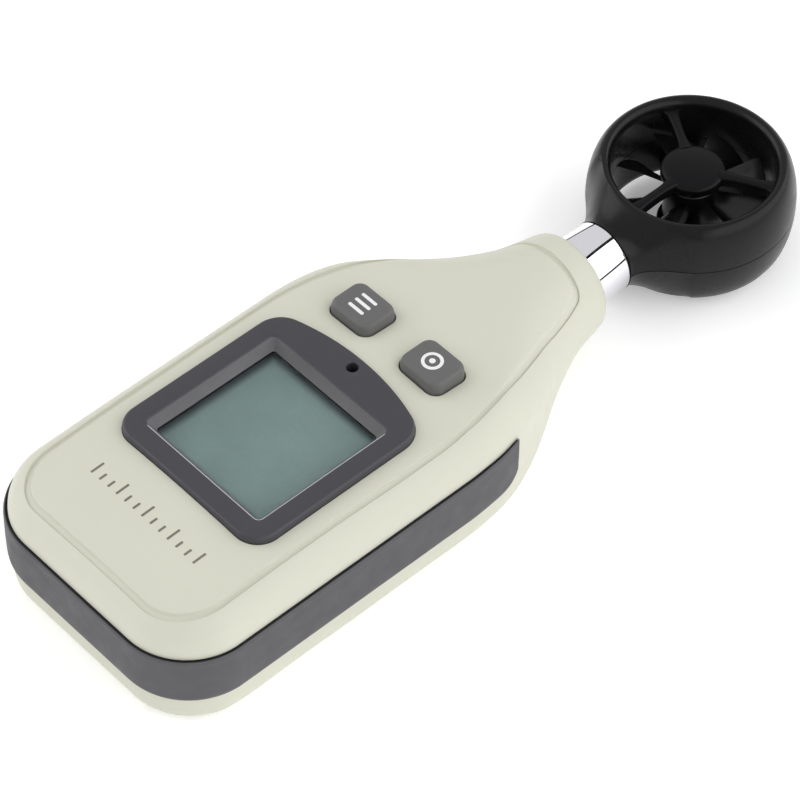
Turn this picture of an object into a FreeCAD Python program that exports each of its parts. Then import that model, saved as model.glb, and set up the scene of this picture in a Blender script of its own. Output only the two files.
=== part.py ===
# Handheld weather meter (pocket vane anemometer).
# Frame: X across the case, Y along the case towards the vane head, Z out of the display.
# Origin: centre of the bounding box in X and Y, on the flat back (z = 0).  Millimetres.
import FreeCAD, Part
import os, math
from FreeCAD import Vector as V

os.makedirs("parts", exist_ok=True)

# ------------------------------------------------------------------ driving dimensions
CASE_HALF_W   = 19.4      # half width of the light shells at the parting line
CORNER_CX     = 9.92      # centre of the rounded lower corners, X
CORNER_CY     = -50.2     # centre of the rounded lower corners, Y
CORNER_R      = 9.5       # plan radius of the lower corners
CASE_T        = 19.0      # thickness of the case
WALL          = 1.7       # shell wall
SPLIT_Z       = 7.7       # parting plane of the two shells
TOP_A, TOP_B  = 3.7, 6.0  # upper edge rounding: horizontal and vertical semi-axes
BOT_A, BOT_B  = 2.6, 2.6  # lower edge rounding
NECK_Z        = 7.7       # height of the neck axis
NECK_END_Y    = 24.4      # end of the collar
BAND_Z0, BAND_Z1 = 5.4, 13.0   # side band
BAND_PROUD    = 0.6
BAND_DEPTH    = 0.9
BAND_TIP_Y    = -2.9
GROOVE_W, GROOVE_D = 0.85, 0.30
FACE_CROWN    = 0.9       # the face falls this much from its middle to its edges

BEZEL_HW, BEZEL_Y0, BEZEL_Y1, BEZEL_YC = 13.65, -42.8, -18.04, -12.6
BEZEL_R, BEZEL_TOP, BEZEL_SEAT = 3.5, 19.7, 17.9
WIN_X, WIN_Y, WIN_CY = 10.75, 10.75, -28.8
WIN_SLOPE, WIN_DEPTH = 1.0, 1.6
PORT_Y, PORT_R = -14.5, 0.8

BTN_X, BTN_Y = 6.5, -6.85
BTN_W, BTN_H, BTN_R, BTN_TOP = 7.3, 6.0, 1.5, 20.5
BTN_TRAVEL = 0.6

PCB_Z0, PCB_T = 11.4, 1.0

CELL_R, CELL_T = 10.0, 3.2          # standard 20 x 3.2 coin cell
CELL_Y, CELL_Z0 = -41.0, 2.5
DOOR_HW, DOOR_Y1, DOOR_T = 11.5, -27.0, 1.5

TUBE_R, TUBE_RI = 5.19, 3.6
TUBE_Y0, TUBE_Y1 = 14.2, 30.3       # visible tube ends at the head collar
SPIGOT_R, SPIGOT_Y1 = 4.2, 33.6
BUSH_R, BUSH_Y0, BUSH_Y1 = 6.2, 17.0, 24.2

RING_Y, RING_RO, RING_RI = 46.7, 14.18, 11.04
RING_H = 6.8                        # rim height either side of the ring's mid plane
HUB_R, HUB_TOP = 4.36, 6.0
SPOKES = (30.0, 150.0, 270.0)
IMP_TIP_R, IMP_HUB_R, IMP_HH = 10.55, 3.7, 3.3
N_BLADES = 8
BLADE_PITCH = 40.0
SHAFT_R, BEARING_R = 0.5, 1.3

# ------------------------------------------------------------------ small helpers
def box(x0, x1, y0, y1, z0, z1):
    return Part.makeBox(x1 - x0, y1 - y0, z1 - z0, V(x0, y0, z0))

def cyl(r, x, y, z0, z1):
    return Part.makeCylinder(r, z1 - z0, V(x, y, z0), V(0, 0, 1))

def cyly(r, y0, y1, x=0.0, z=NECK_Z):
    return Part.makeCylinder(r, y1 - y0, V(x, y0, z), V(0, 1, 0))

def prism(pts, z0, z1):
    w = Part.makePolygon([V(x, y, z0) for x, y in pts] + [V(pts[0][0], pts[0][1], z0)])
    return Part.Face(w).extrude(V(0, 0, z1 - z0))

def rrect_wire(hw, hh, r, cx, cy, z):
    a, b, k = hw - r, hh - r, r * math.sqrt(0.5)
    E = []
    def L(x0, y0, x1, y1):
        E.append(Part.makeLine(V(cx + x0, cy + y0, z), V(cx + x1, cy + y1, z)))
    def A(x0, y0, xm, ym, x1, y1):
        E.append(Part.Arc(V(cx + x0, cy + y0, z), V(cx + xm, cy + ym, z), V(cx + x1, cy + y1, z)).toShape())
    L(-a, -hh, a, -hh); A(a, -hh, a + k, -b - k, hw, -b)
    L(hw, -b, hw, b);   A(hw, b, a + k, b + k, a, hh)
    L(a, hh, -a, hh);   A(-a, hh, -a - k, b + k, -hw, b)
    L(-hw, b, -hw, -b); A(-hw, -b, -a - k, -b - k, -a, -hh)
    return Part.Wire(E)

def rrect(hw, hh, r, cx, cy, z0, z1):
    return Part.Face(rrect_wire(hw, hh, r, cx, cy, z0)).extrude(V(0, 0, z1 - z0))

def fillet(s, r, test):
    ed = [e for e in s.Edges if test(e)]
    if not ed:
        return s
    try:
        f = s.makeFillet(r, ed)
        if f.isValid() and f.Volume > 0.5 * s.Volume:
            return f
    except Exception:
        pass
    return s

def zedge(z, tol=1e-3):
    return lambda e: all(abs(v.Z - z) < tol for v in e.Vertexes) and abs(e.CenterOfMass.z - z) < tol

def lerp_table(tab, y):
    """Monotone cubic interpolation of (y, value) pairs."""
    n = len(tab)
    if y <= tab[0][0]:
        return tab[0][1]
    if y >= tab[-1][0]:
        return tab[-1][1]
    d = [(tab[i + 1][1] - tab[i][1]) / (tab[i + 1][0] - tab[i][0]) for i in range(n - 1)]
    m = [d[0]] + [0.0 if d[i - 1] * d[i] <= 0 else 2 * d[i - 1] * d[i] / (d[i - 1] + d[i]) for i in range(1, n - 1)] + [d[-1]]
    for i in range(n - 1):
        if y <= tab[i + 1][0]:
            h = tab[i + 1][0] - tab[i][0]
            t = (y - tab[i][0]) / h
            return ((2 * t**3 - 3 * t**2 + 1) * tab[i][1] + (t**3 - 2 * t**2 + t) * h * m[i]
                    + (-2 * t**3 + 3 * t**2) * tab[i + 1][1] + (t**3 - t**2) * h * m[i + 1])

# ------------------------------------------------------------------ case form
HW = [(-50.2, 19.4), (-20.0, 19.4), (-12.65, 19.4), (-7.65, 19.1), (-3.15, 18.25), (2.85, 16.0), (7.35, 13.6),
      (10.85, 11.7), (14.35, 10.1), (17.35, 8.9), (20.35, 8.05), (22.6, 7.55), (23.6, 7.2), (24.15, 6.75), (24.4, 6.2)]
ZT = [(-60.0, 19.0), (-11.0, 19.0), (-6.0, 18.8), (-1.0, 18.35), (4.0, 17.75), (9.0, 17.0), (14.0, 16.2), (19.0, 15.4),
      (22.0, 15.05), (23.6, 14.8), (24.15, 14.4), (24.4, 13.9)]
ZB = [(-60.0, 0.0), (6.0, 0.0), (14.0, 0.12), (20.0, 0.3), (22.6, 0.45), (23.6, 0.65), (24.15, 1.05), (24.4, 1.5)]

def smooth(t):
    t = max(0.0, min(1.0, t))
    return t * t * (3 - 2 * t)

def section(y, inset, tall):
    """Closed section of the case at y; inset moves every wall inwards, tall makes the walls upright."""
    dy = max(0.0, CORNER_CY - y)
    s = smooth((y + 4.0) / 24.0)
    w = lerp_table(HW, y) - inset
    zt = lerp_table(ZT, y) - inset
    zb = lerp_table(ZB, y) + inset
    a = TOP_A + (w - 0.4 - TOP_A) * s - (0.6 * inset * (1 - s))
    b = TOP_B + (zt - NECK_Z - 0.15 - TOP_B) * s - (0.6 * inset * (1 - s))
    c = BOT_A + (w - 0.4 - BOT_A) * s - (0.6 * inset * (1 - s))
    d = BOT_B + (NECK_Z - zb - 0.15 - BOT_B) * s - (0.6 * inset * (1 - s))
    if tall:
        zt, zb, a, b, c, d = CASE_T + 3.0, -3.0, 0.3, 0.3, 0.3, 0.3
    cr = 0.0 if tall else FACE_CROWN * (1 - s)
    R = CORNER_R - inset
    rem = R - dy
    fa = math.acos(max(0.0, min(1.0, 1.0 - rem / a))) if dy > 0 else math.pi / 2
    fc = math.acos(max(0.0, min(1.0, 1.0 - rem / c))) if dy > 0 else math.pi / 2
    N = 9
    def half(x_in):
        if dy <= 0:
            return w - x_in
        q = (R - x_in) ** 2 - dy * dy
        return CORNER_CX + math.sqrt(max(q, 0.0))
    top, bot = [], []
    for i in range(N):
        f = fa * (1 - i / (N - 1.0))
        top.append((half(a * (1 - math.cos(f))), zt - b + (b - cr) * math.sin(f)))
    for i in range(N):
        f = fc * i / (N - 1.0)
        bot.append((half(c * (1 - math.cos(f))), zb + d - d * math.sin(f)))
    par = [i / (N - 1.0) for i in range(N)]
    def curve(pts):
        bs = Part.BSplineCurve()
        bs.interpolate(Points=[V(x, y, z) for x, z in pts], Parameters=par)
        return bs.toShape()
    def line(p, q):
        return Part.makeLine(V(p[0], y, p[1]), V(q[0], y, q[1]))
    def crown(p, q):
        rise = cr * (1.0 if dy <= 0 else fa / (math.pi / 2)) + 0.02
        return Part.Arc(V(p[0], y, p[1]), V(0, y, p[1] + rise), V(q[0], y, q[1])).toShape()
    mir = lambda pts: [(-x, z) for x, z in pts]
    E = [curve(top), line(top[-1], bot[0]), curve(bot), line(bot[-1], mir(bot)[-1]),
         curve(list(reversed(mir(bot)))), line(mir(bot)[0], mir(top)[-1]), curve(list(reversed(mir(top)))),
         crown(mir(top)[0], top[0])]
    return Part.Wire(E)

def case_solid(inset=0.0, tall=False, y_end=NECK_END_Y):
    R = CORNER_R - inset
    ys = [CORNER_CY - R * math.sin(math.radians(t)) for t in (84.5, 76, 66, 54, 42, 29, 15)] + [CORNER_CY]
    ys += [-44.0, -34.0, -24.0, -16.0, -11.0, -7.65, -3.15, 0.0, 2.85, 7.35, 10.85, 14.35, 17.35, 20.35, 22.6, 23.6, 24.15, 24.4]
    ys = [y for y in ys if y <= y_end + 1e-6]
    if ys[-1] < y_end - 0.2:
        ys.append(y_end)
    return Part.makeLoft([section(y, inset, tall) for y in ys], True, False)

outer = case_solid(0.0)
inner = case_solid(WALL, y_end=12.0)
band_in = case_solid(BAND_DEPTH, tall=True, y_end=2.85)
band_out = case_solid(-BAND_PROUD, tall=True, y_end=2.85)

# band zone: side view profile, blunt rounded ends
def band_zone(g=0.0):
    z0, z1, yt = BAND_Z0 - g, BAND_Z1 + g, BAND_TIP_Y + g
    r = 3.0
    pts = [V(0, -70, z0), V(0, yt - r, z0), V(0, yt - r * 0.29, z0 + r * 0.29), V(0, yt, z0 + r), V(0, yt + 0.15, (z0 + z1) / 2 + 1.0), V(0, yt - 0.4, z1), V(0, -70, z1)]
    e = [Part.makeLine(pts[0], pts[1]), Part.Arc(pts[1], pts[2], pts[3]).toShape(),
         Part.Arc(pts[3], pts[4], pts[5]).toShape(), Part.makeLine(pts[5], pts[6]), Part.makeLine(pts[6], pts[0])]
    f = Part.Face(Part.Wire(e))
    f.translate(V(-30, 0, 0))
    return f.extrude(V(60, 0, 0))

zone = band_zone()
side_band = band_out.cut(band_in).common(zone)
side_band = fillet(side_band, 0.45, lambda e: (zedge(BAND_Z1)(e) or zedge(BAND_Z0)(e)) and
                   (max(abs(e.BoundBox.XMax), abs(e.BoundBox.XMin)) > 19.0 + 0.35 or e.BoundBox.YMin < CORNER_CY - CORNER_R - 0.2) and
                   all(math.hypot(max(abs(v.X) - CORNER_CX, 0), min(v.Y - CORNER_CY, 0)) > 9.2 for v in e.Vertexes))
band_cut = zone.cut(band_in)

# ------------------------------------------------------------------ outlines on the face
def bezel_wire(z, off=0.0):
    hw, y0, y1, yc, r = BEZEL_HW - off, BEZEL_Y0 + off, BEZEL_Y1, BEZEL_YC - off, BEZEL_R - off
    k = r * (1 - math.sqrt(0.5))
    # shoulders of radius 4 run into a shallow crown arc
    R, cx = 4.0 - off, BEZEL_HW - 4.0
    mid = (cx + R * math.cos(math.radians(37.15)), y1 + R * math.sin(math.radians(37.15)))
    end = (cx + R * math.cos(math.radians(74.3)), y1 + R * math.sin(math.radians(74.3)))
    E = [Part.makeLine(V(-hw + r, y0, z), V(hw - r, y0, z)),
         Part.Arc(V(hw - r, y0, z), V(hw - k, y0 + k, z), V(hw, y0 + r, z)).toShape(),
         Part.makeLine(V(hw, y0 + r, z), V(hw, y1, z))]
    E.append(Part.Arc(V(hw, y1, z), V(mid[0], mid[1], z), V(end[0], end[1], z)).toShape())
    E.append(Part.Arc(V(end[0], end[1], z), V(0, yc, z), V(-end[0], end[1], z)).toShape())
    E.append(Part.Arc(V(-end[0], end[1], z), V(-mid[0], mid[1], z), V(-hw, y1, z)).toShape())
    E.append(Part.makeLine(V(-hw, y1, z), V(-hw, y0 + r, z)))
    E.append(Part.Arc(V(-hw, y0 + r, z), V(-hw + k, y0 + k, z), V(-hw + r, y0, z)).toShape())
    return Part.Wire(E)

def bezel_prism(z0, z1, off=0.0):
    return Part.Face(bezel_wire(z0, off)).extrude(V(0, 0, z1 - z0))

# ------------------------------------------------------------------ shells
shell = outer.cut(inner).cut(band_cut)
# solid neck with the bore for the bushing and the clip chamber
neck_bore = cyly(BUSH_R, BUSH_Y0 - 0.01, 30.0).fuse(cyly(6.7, 11.9, BUSH_Y0))
neck_bore = neck_bore.fuse(cyly(5.3, 24.0, 30.0))
lip = cyly(BUSH_R + 0.01, BUSH_Y1, 30.0).cut(cyly(5.30, 20.0, 31.0))
neck_bore = neck_bore.cut(lip)
shell = shell.cut(neck_bore)

front = shell.common(box(-30, 30, -70, 30, SPLIT_Z, 30))
rear = shell.common(box(-30, 30, -70, 30, -5, SPLIT_Z))

# face groove: an outline that follows the plan shape, cut a constant depth below the face
def groove_ring(off0, off1):
    def outline(off):
        pts_r = []
        R = 7.0 - off
        for t in range(0, 91, 10):
            a = math.radians(-90 + t)
            pts_r.append((CORNER_CX + R * math.cos(a), CORNER_CY + 0.0 + R * math.sin(a)))
        for y, x in ((-42.0, 16.92), (-32.0, 16.92), (-22.0, 16.92), (-15.0, 16.85), (-9.0, 16.25), (-3.4, 14.95), (1.9, 13.3), (6.6, 11.1),
                     (11.1, 8.85), (15.4, 6.8), (18.2, 5.4)):
            pts_r.append((x - off, y))
        pts_r += [(4.0 - off * 0.7, 20.2 - off * 0.7), (2.2, 21.3 - off), (0.0, 21.7 - off)]
        left = [(-x, y) for x, y in reversed(pts_r[:-1])]
        return pts_r + left
    o, i = outline(off0), outline(off1)
    return prism(o, 8, 22).cut(prism(i, 7, 23))

lowered = outer.copy()
lowered.translate(V(0, 0, -GROOVE_D))
skin = outer.cut(lowered).common(box(-30, 30, -70, 30, 13.2, 30))
groove = skin.common(groove_ring(0.0, GROOVE_W))
front = front.cut(groove)

# bezel seat, window, sensor hole and button holes
front = front.cut(bezel_prism(BEZEL_SEAT, 25, -0.05))
front = front.cut(box(-11.35, 11.35, WIN_CY - 11.35, WIN_CY + 11.35, 15, 25))
front = front.cut(cyl(PORT_R + 0.5, 0, PORT_Y, 12, 25))
for sx in (-1, 1):
    front = front.cut(rrect(BTN_W / 2 + 0.15, BTN_H / 2 + 0.15, BTN_R + 0.15, sx * BTN_X, BTN_Y, 14, 25))

# screw bosses: posts in the front shell, sleeves in the rear shell
SCREWS = [(-15.1, -46.5), (15.1, -46.5), (-13.2, -3.6), (13.2, -3.6)]
BOSS_R = 2.1
for x, y in SCREWS:
    post = cyl(BOSS_R, x, y, SPLIT_Z, 18.0).common(outer)
    front = front.fuse(post).cut(cyl(0.75, x, y, SPLIT_Z - 1, 15.2))
    sleeve = cyl(BOSS_R, x, y, 0.3, SPLIT_Z).common(outer)
    rear = rear.fuse(sleeve).cut(cyl(1.05, x, y, -1, SPLIT_Z + 1)).cut(cyl(1.75, x, y, -1, 1.9))

# board posts on the front shell
PCB_SCREWS = [(-10.6, -14.2), (10.6, -14.2)]
for x, y in PCB_SCREWS:
    front = front.fuse(cyl(1.5, x, y, PCB_Z0 + PCB_T, 17.5)).cut(cyl(0.6, x, y, PCB_Z0, 16.6))

# battery bay in the rear shell: opening for the door with slide grooves
opening = box(-DOOR_HW - 0.12, DOOR_HW + 0.12, -70, DOOR_Y1 + 0.12, -1, DOOR_T + 0.10)
slots = box(-DOOR_HW - 0.92, DOOR_HW + 0.92, -58.2, DOOR_Y1 + 0.12, 0.60, 1.25)
slots = slots.fuse(box(-DOOR_HW - 0.92, DOOR_HW + 0.92, -70, -57.6, 0.60, 1.25))
bay_plate = box(-12.9, 12.9, -58.6, DOOR_Y1 + 2.2, 0.2, 2.35).common(outer)
rear = rear.fuse(bay_plate).cut(opening).cut(slots)
rear = rear.cut(cyl(CELL_R + 0.35, 0, CELL_Y, DOOR_T - 0.5, 6.2))
# catch recess for the door's snap nib
rear = rear.cut(box(-3.2, 3.2, DOOR_Y1 + 0.05, DOOR_Y1 + 1.0, 0.55, 1.3))
# flat rest pad on the back, set off by a shallow moat
rear = rear.cut(box(-10.8, 10.8, -24.3, -5.2, -1.0, 0.3))
rear = rear.fuse(box(-10.0, 10.0, -23.5, -6.0, 0.0, 0.6))

# door: skin piece of the back with side tongues and a snap nib, grip ribs on the outside
door = outer.common(box(-DOOR_HW, DOOR_HW, -70, DOOR_Y1, -1, DOOR_T))
tongues = box(-DOOR_HW - 0.80, DOOR_HW + 0.80, -57.2, DOOR_Y1, 0.72, 1.13)
door = door.fuse(tongues)
door = door.fuse(box(-3.0, 3.0, DOOR_Y1, DOOR_Y1 + 0.85, 0.72, 1.13))
for k in range(6):
    yk = -52.5 + k * 1.5
    door = door.cut(box(-6.0 + 0.0, 6.0, yk, yk + 0.7, -1, 0.30))

# ------------------------------------------------------------------ bezel, lens, display
bezel = bezel_prism(BEZEL_SEAT, BEZEL_TOP)
bezel = fillet(bezel, 0.45, zedge(BEZEL_TOP))
bezel = bezel.fuse(box(-11.25, 11.25, WIN_CY - 11.25, WIN_CY + 11.25, 16.4, BEZEL_SEAT))
win_top = rrect_wire(WIN_X, WIN_Y, 0.9, 0, WIN_CY, BEZEL_TOP)
win_bot = rrect_wire(WIN_X - WIN_SLOPE, WIN_Y - WIN_SLOPE, 0.5, 0, WIN_CY, BEZEL_TOP - WIN_DEPTH)
bezel = bezel.cut(Part.makeLoft([win_bot, win_top], True, True))
bezel = bezel.cut(rrect(WIN_X - WIN_SLOPE, WIN_Y - WIN_SLOPE, 0.5, 0, WIN_CY, 16.0, BEZEL_TOP - WIN_DEPTH + 0.01))
bezel = bezel.cut(box(-10.4, 10.4, WIN_CY - 10.4, WIN_CY + 10.4, 16.0, BEZEL_TOP - WIN_DEPTH))
bezel = bezel.cut(cyl(PORT_R, 0, PORT_Y, 10, 25))

lens = box(-10.4, 10.4, WIN_CY - 10.4, WIN_CY + 10.4, BEZEL_TOP - WIN_DEPTH - 1.0, BEZEL_TOP - WIN_DEPTH)
lcd = box(-10.2, 10.2, WIN_CY - 10.2, WIN_CY + 10.2, 15.0, 16.7)
holder = box(-11.6, 11.6, WIN_CY - 11.6, WIN_CY + 11.6, PCB_Z0 + PCB_T, 16.3)
holder = holder.cut(box(-10.2, 10.2, WIN_CY - 10.2, WIN_CY + 10.2, 15.0, 17.0))
holder = holder.cut(box(-8.0, 8.0, WIN_CY - 7.0, WIN_CY + 7.0, 10.0, 17.0))
strip_slot = [box(-8.6, 8.6, WIN_CY + s * 8.4 - 0.8, WIN_CY + s * 8.4 + 0.8, 10.0, 15.0) for s in (-1, 1)]
strips = []
for s, sl in zip((-1, 1), strip_slot):
    holder = holder.cut(sl)
    strips.append(box(-8.5, 8.5, WIN_CY + s * 8.4 - 0.75, WIN_CY + s * 8.4 + 0.75, PCB_Z0 + PCB_T, 15.0))
conn_strips = Part.makeCompound(strips)

# ------------------------------------------------------------------ board and electronics
pcb = box(-12.4, 12.4, -55.5, 4.5, PCB_Z0, PCB_Z0 + PCB_T)
pcb = pcb.cut(box(-13, -10.9, -8, 6, 9, 14)).cut(box(10.9, 13, -8, 6, 9, 14))
for x, y in PCB_SCREWS:
    pcb = pcb.cut(cyl(0.85, x, y, 9, 14))
chip = box(-4.5, 4.5, WIN_CY - 4.5, WIN_CY + 4.5, PCB_Z0 + PCB_T, PCB_Z0 + PCB_T + 1.3)
crystal = box(-6.6, -1.0, -50.6, -48.6, PCB_Z0 + PCB_T, PCB_Z0 + PCB_T + 1.6)
caps = Part.makeCompound([box(x, x + 1.6, y, y + 0.8, PCB_Z0 + PCB_T, PCB_Z0 + PCB_T + 0.7) for x, y in
                          ((2.0, -50.8), (5.2, -50.8), (2.0, -47.6), (5.2, -47.6), (-8.6, -45.6), (-5.2, -45.6))])
zp = PCB_Z0 + PCB_T
sw = []
for sx in (-1, 1):
    sw.append(rrect(3.0, 3.0, 0.3, sx * BTN_X, BTN_Y, zp, zp + 1.7).fuse(cyl(1.6, sx * BTN_X, BTN_Y, zp + 1.7, zp + 2.1)))
switches = Part.makeCompound(sw)
pcb_screws = Part.makeCompound([cyl(1.35, x, y, PCB_Z0 - 0.9, PCB_Z0).fuse(cyl(0.6, x, y, PCB_Z0 - 0.1, 16.0)) for x, y in PCB_SCREWS])
thermistor = Part.makeSphere(0.65, V(0, PORT_Y, 17.4)).fuse(cyl(0.35, -0.0, PORT_Y, zp, 17.0))
lead_socket = box(-3.2, 3.2, -1.6, 3.0, 6.0, PCB_Z0).cut(cyly(0.75, 1.0, 4.0))

# ------------------------------------------------------------------ buttons
def button(sx):
    x = sx * BTN_X
    lower = rrect_wire(BTN_W / 2, BTN_H / 2, BTN_R, x, BTN_Y, 16.3)
    mid = rrect(BTN_W / 2, BTN_H / 2, BTN_R, x, BTN_Y, 16.3, 19.3)
    crown = Part.makeLoft([rrect_wire(BTN_W / 2, BTN_H / 2, BTN_R, x, BTN_Y, 19.3),
                           rrect_wire(BTN_W / 2 - 0.35, BTN_H / 2 - 0.35, BTN_R - 0.2, x, BTN_Y, BTN_TOP)], True, True)
    cap = mid.fuse(crown)
    cap = fillet(cap, 0.5, zedge(BTN_TOP))
    flange = rrect(BTN_W / 2 + 0.65, BTN_H / 2 + 0.65, BTN_R + 0.5, x, BTN_Y, 15.25, 16.3)
    stem = cyl(1.5, x, BTN_Y, zp + 2.1 + BTN_TRAVEL + 0.1, 15.4)
    return cap.fuse(flange).fuse(stem)
mode_button = button(-1)
set_button = button(1)
# keep the flange's path clear of the shell above and the board below

# ------------------------------------------------------------------ battery
cell = cyl(CELL_R, 0, CELL_Y, CELL_Z0, CELL_Z0 + CELL_T)
cell = fillet(cell, 0.5, lambda e: True)
tray = cyl(CELL_R + 1.9, 0, CELL_Y, 3.2, 7.6).cut(cyl(CELL_R + 0.3, 0, CELL_Y, 2.0, 6.6))
tray = tray.cut(box(CELL_R - 1.0, CELL_R + 3.0, CELL_Y - 3.2, CELL_Y + 3.2, 2.0, 6.9))
neg = box(-1.6, 1.6, CELL_Y - 6.0, CELL_Y + 6.0, 6.25, 6.55).fuse(box(-1.6, 1.6, CELL_Y - 1.5, CELL_Y + 1.5, CELL_Z0 + CELL_T, 6.55))
neg = neg.fuse(cyl(0.5, 0, CELL_Y + 5.2, 6.3, PCB_Z0))
tray = tray.cut(cyl(0.55, 0, CELL_Y + 5.2, 6.0, 9.0))
pos = box(CELL_R, CELL_R + 0.3, CELL_Y - 2.6, CELL_Y + 2.6, 2.9, 6.6)
pos = pos.fuse(box(CELL_R, CELL_R + 1.4, CELL_Y - 1.2, CELL_Y + 1.2, 6.3, 6.6)).fuse(box(CELL_R + 1.1, CELL_R + 1.4, CELL_Y - 1.2, CELL_Y + 1.2, 6.3, PCB_Z0))
tray = tray.cut(box(CELL_R + 0.9, CELL_R + 1.6, CELL_Y - 1.4, CELL_Y + 1.4, 6.0, 9.0))

# ------------------------------------------------------------------ neck
tube = cyly(TUBE_R, TUBE_Y0, TUBE_Y1).fuse(cyly(SPIGOT_R, TUBE_Y1 - 0.5, SPIGOT_Y1)).cut(cyly(SPIGOT_R - 0.9, TUBE_Y0 - 1, SPIGOT_Y1 + 1))
clip_groove = cyly(TUBE_R + 1, 15.2, 16.0).cut(cyly(TUBE_R - 0.6, 14, 17))
tube = tube.cut(clip_groove)
clip = cyly(6.4, 15.22, 15.98).cut(cyly(TUBE_R - 0.6, 14, 17)).cut(box(-2.2, 2.2, 15, 16.5, NECK_Z - 8, NECK_Z - 3))
washer = cyly(6.3, 16.15, 16.85).cut(cyly(TUBE_R + 0.08, 15, 18))
bushing = cyly(BUSH_R, BUSH_Y0, BUSH_Y1).cut(cyly(TUBE_R + 0.05, 15, 26))

# ------------------------------------------------------------------ vane head
def revolve_profile(pts):
    """pts: list of (r, z) closed profile; turned about the impeller axis."""
    w = Part.makePolygon([V(r, 0, z) for r, z in pts] + [V(pts[0][0], 0, pts[0][1])])
    s = Part.Face(w).revolve(V(0, 0, 0), V(0, 0, 1), 360)
    s.translate(V(0, RING_Y, NECK_Z))
    return s

ring_pts = []
for i in range(0, 17):                       # outer bulge
    t = math.radians(90.0 * i / 16)
    ring_pts.append((12.0 + (RING_RO - 12.0) * math.cos(t), RING_H * math.sin(t)))
for i in range(1, 7):                        # rolled lip down to the bore
    t = math.radians(90.0 * i / 6)
    ring_pts.append((12.0 - (12.0 - RING_RI) * math.sin(t), RING_H - 1.5 + 1.5 * math.cos(t)))
ring_up = revolve_profile(ring_pts + [(RING_RI, 0.0)])
ring_dn = revolve_profile([(r, -z) for r, z in ring_pts + [(RING_RI, 0.0)]])

# collar flare between the ring and the tube
fl = []
for y, r in ((TUBE_Y1, 5.19), (31.2, 5.35), (32.2, 5.9), (33.2, 6.9), (34.2, 8.2), (35.4, 9.6)):
    h = min(r, 6.2)
    fl.append((y, r, h))
def ellipse_wire(y, rx, rz):
    if rx < rz + 1e-6:
        return Part.Wire([Part.makeCircle(rx, V(0, y, NECK_Z), V(0, 1, 0))])
    e = Part.Ellipse(V(0, y, NECK_Z), rx, rz)
    el = Part.Ellipse(V(rx, y, NECK_Z), V(0, y, NECK_Z + rz), V(0, y, NECK_Z))
    return Part.Wire([el.toShape()])
flare = Part.makeLoft([ellipse_wire(y, r, h) if r > h + 0.01 else Part.Wire([Part.Ellipse(V(r + 0.001, y, NECK_Z), V(0, y, NECK_Z + r), V(0, y, NECK_Z)).toShape()])
                       for y, r, h in fl], True, False)
flare = flare.cut(Part.makeCylinder(RING_RI + 0.3, 40, V(0, RING_Y, -10), V(0, 0, 1)))

def spoke(ang, s):
    """Flat arm from hub to ring; wider where it meets the ring."""
    pts = [(3.0, -1.0), (7.0, -0.95), (9.5, -1.25), (10.8, -2.0), (11.6, -3.2), (12.2, -3.2), (12.2, 3.2), (11.6, 3.2), (10.8, 2.0), (9.5, 1.25), (7.0, 0.95), (3.0, 1.0)]
    p = prism(pts, 4.1 if s > 0 else -5.6, 5.6 if s > 0 else -4.1)
    p.rotate(V(0, 0, 0), V(0, 0, 1), ang)
    p.translate(V(0, RING_Y, NECK_Z))
    return p

def hub(s):
    R = 7.2
    pts = [(0, 3.9), (HUB_R - 0.15, 3.9), (HUB_R, 4.2), (HUB_R, 5.1), (HUB_R - 0.25, 5.45), (2.9, 5.78), (1.4, 5.95), (0, HUB_TOP)]
    h = revolve_profile([(r, s * z) for r, z in pts])
    return h.cut(Part.makeCylinder(BEARING_R, 1.5, V(0, RING_Y, NECK_Z + (3.8 if s > 0 else -5.3)), V(0, 0, 1)))

def limit(s):
    return box(-20, 20, 25, 65, NECK_Z, 20) if s > 0 else box(-20, 20, 25, 65, -5, NECK_Z)

HEAD_SCREWS = [30.0, 150.0]
def head_half(s):
    h = (ring_up if s > 0 else ring_dn).fuse(flare.common(limit(s)))
    for a in SPOKES:
        h = h.fuse(spoke(a, s))
    h = h.fuse(hub(s))
    h = h.cut(Part.makeCylinder(RING_RI, 6.0, V(0, RING_Y, NECK_Z - 3.0), V(0, 0, 1)))
    h = h.cut(cyly(SPIGOT_R, TUBE_Y1 - 1, SPIGOT_Y1))
    for a in HEAD_SCREWS:
        x, y = 12.55 * math.cos(math.radians(a)), RING_Y + 12.55 * math.sin(math.radians(a))
        if s < 0:
            h = h.cut(cyl(0.65, x, y, -1, 10)).cut(cyl(1.15, x, y, -1, NECK_Z - 5.0))
        else:
            h = h.cut(cyl(0.45, x, y, 7, NECK_Z + 4.5))
    return h

head_front = head_half(1)
head_rear = head_half(-1)
# lead channel: from the sensor pocket in the rear hub along the neck side arm to the tube
pocket = box(-1.2, 1.2, RING_Y - 3.6, RING_Y - 1.7, NECK_Z - 5.1, NECK_Z - 3.9)
chan = box(-0.45, 0.45, SPIGOT_Y1 - 1, RING_Y - 3.5, NECK_Z - 5.0, NECK_Z - 4.05)
chan2 = box(-0.45, 0.45, SPIGOT_Y1 - 0.5, 35.3, NECK_Z - 5.0, NECK_Z + 0.45)
head_rear = head_rear.cut(pocket).cut(chan.common(box(-1, 1, SPIGOT_Y1, 60, 0, 20)))
head_rear = head_rear.cut(chan2.common(box(-1, 1, SPIGOT_Y1 - 0.01, 60, 0, 20)))
head_front = head_front.cut(chan2.common(box(-1, 1, SPIGOT_Y1 - 0.01, 60, 0, 20)))

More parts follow.
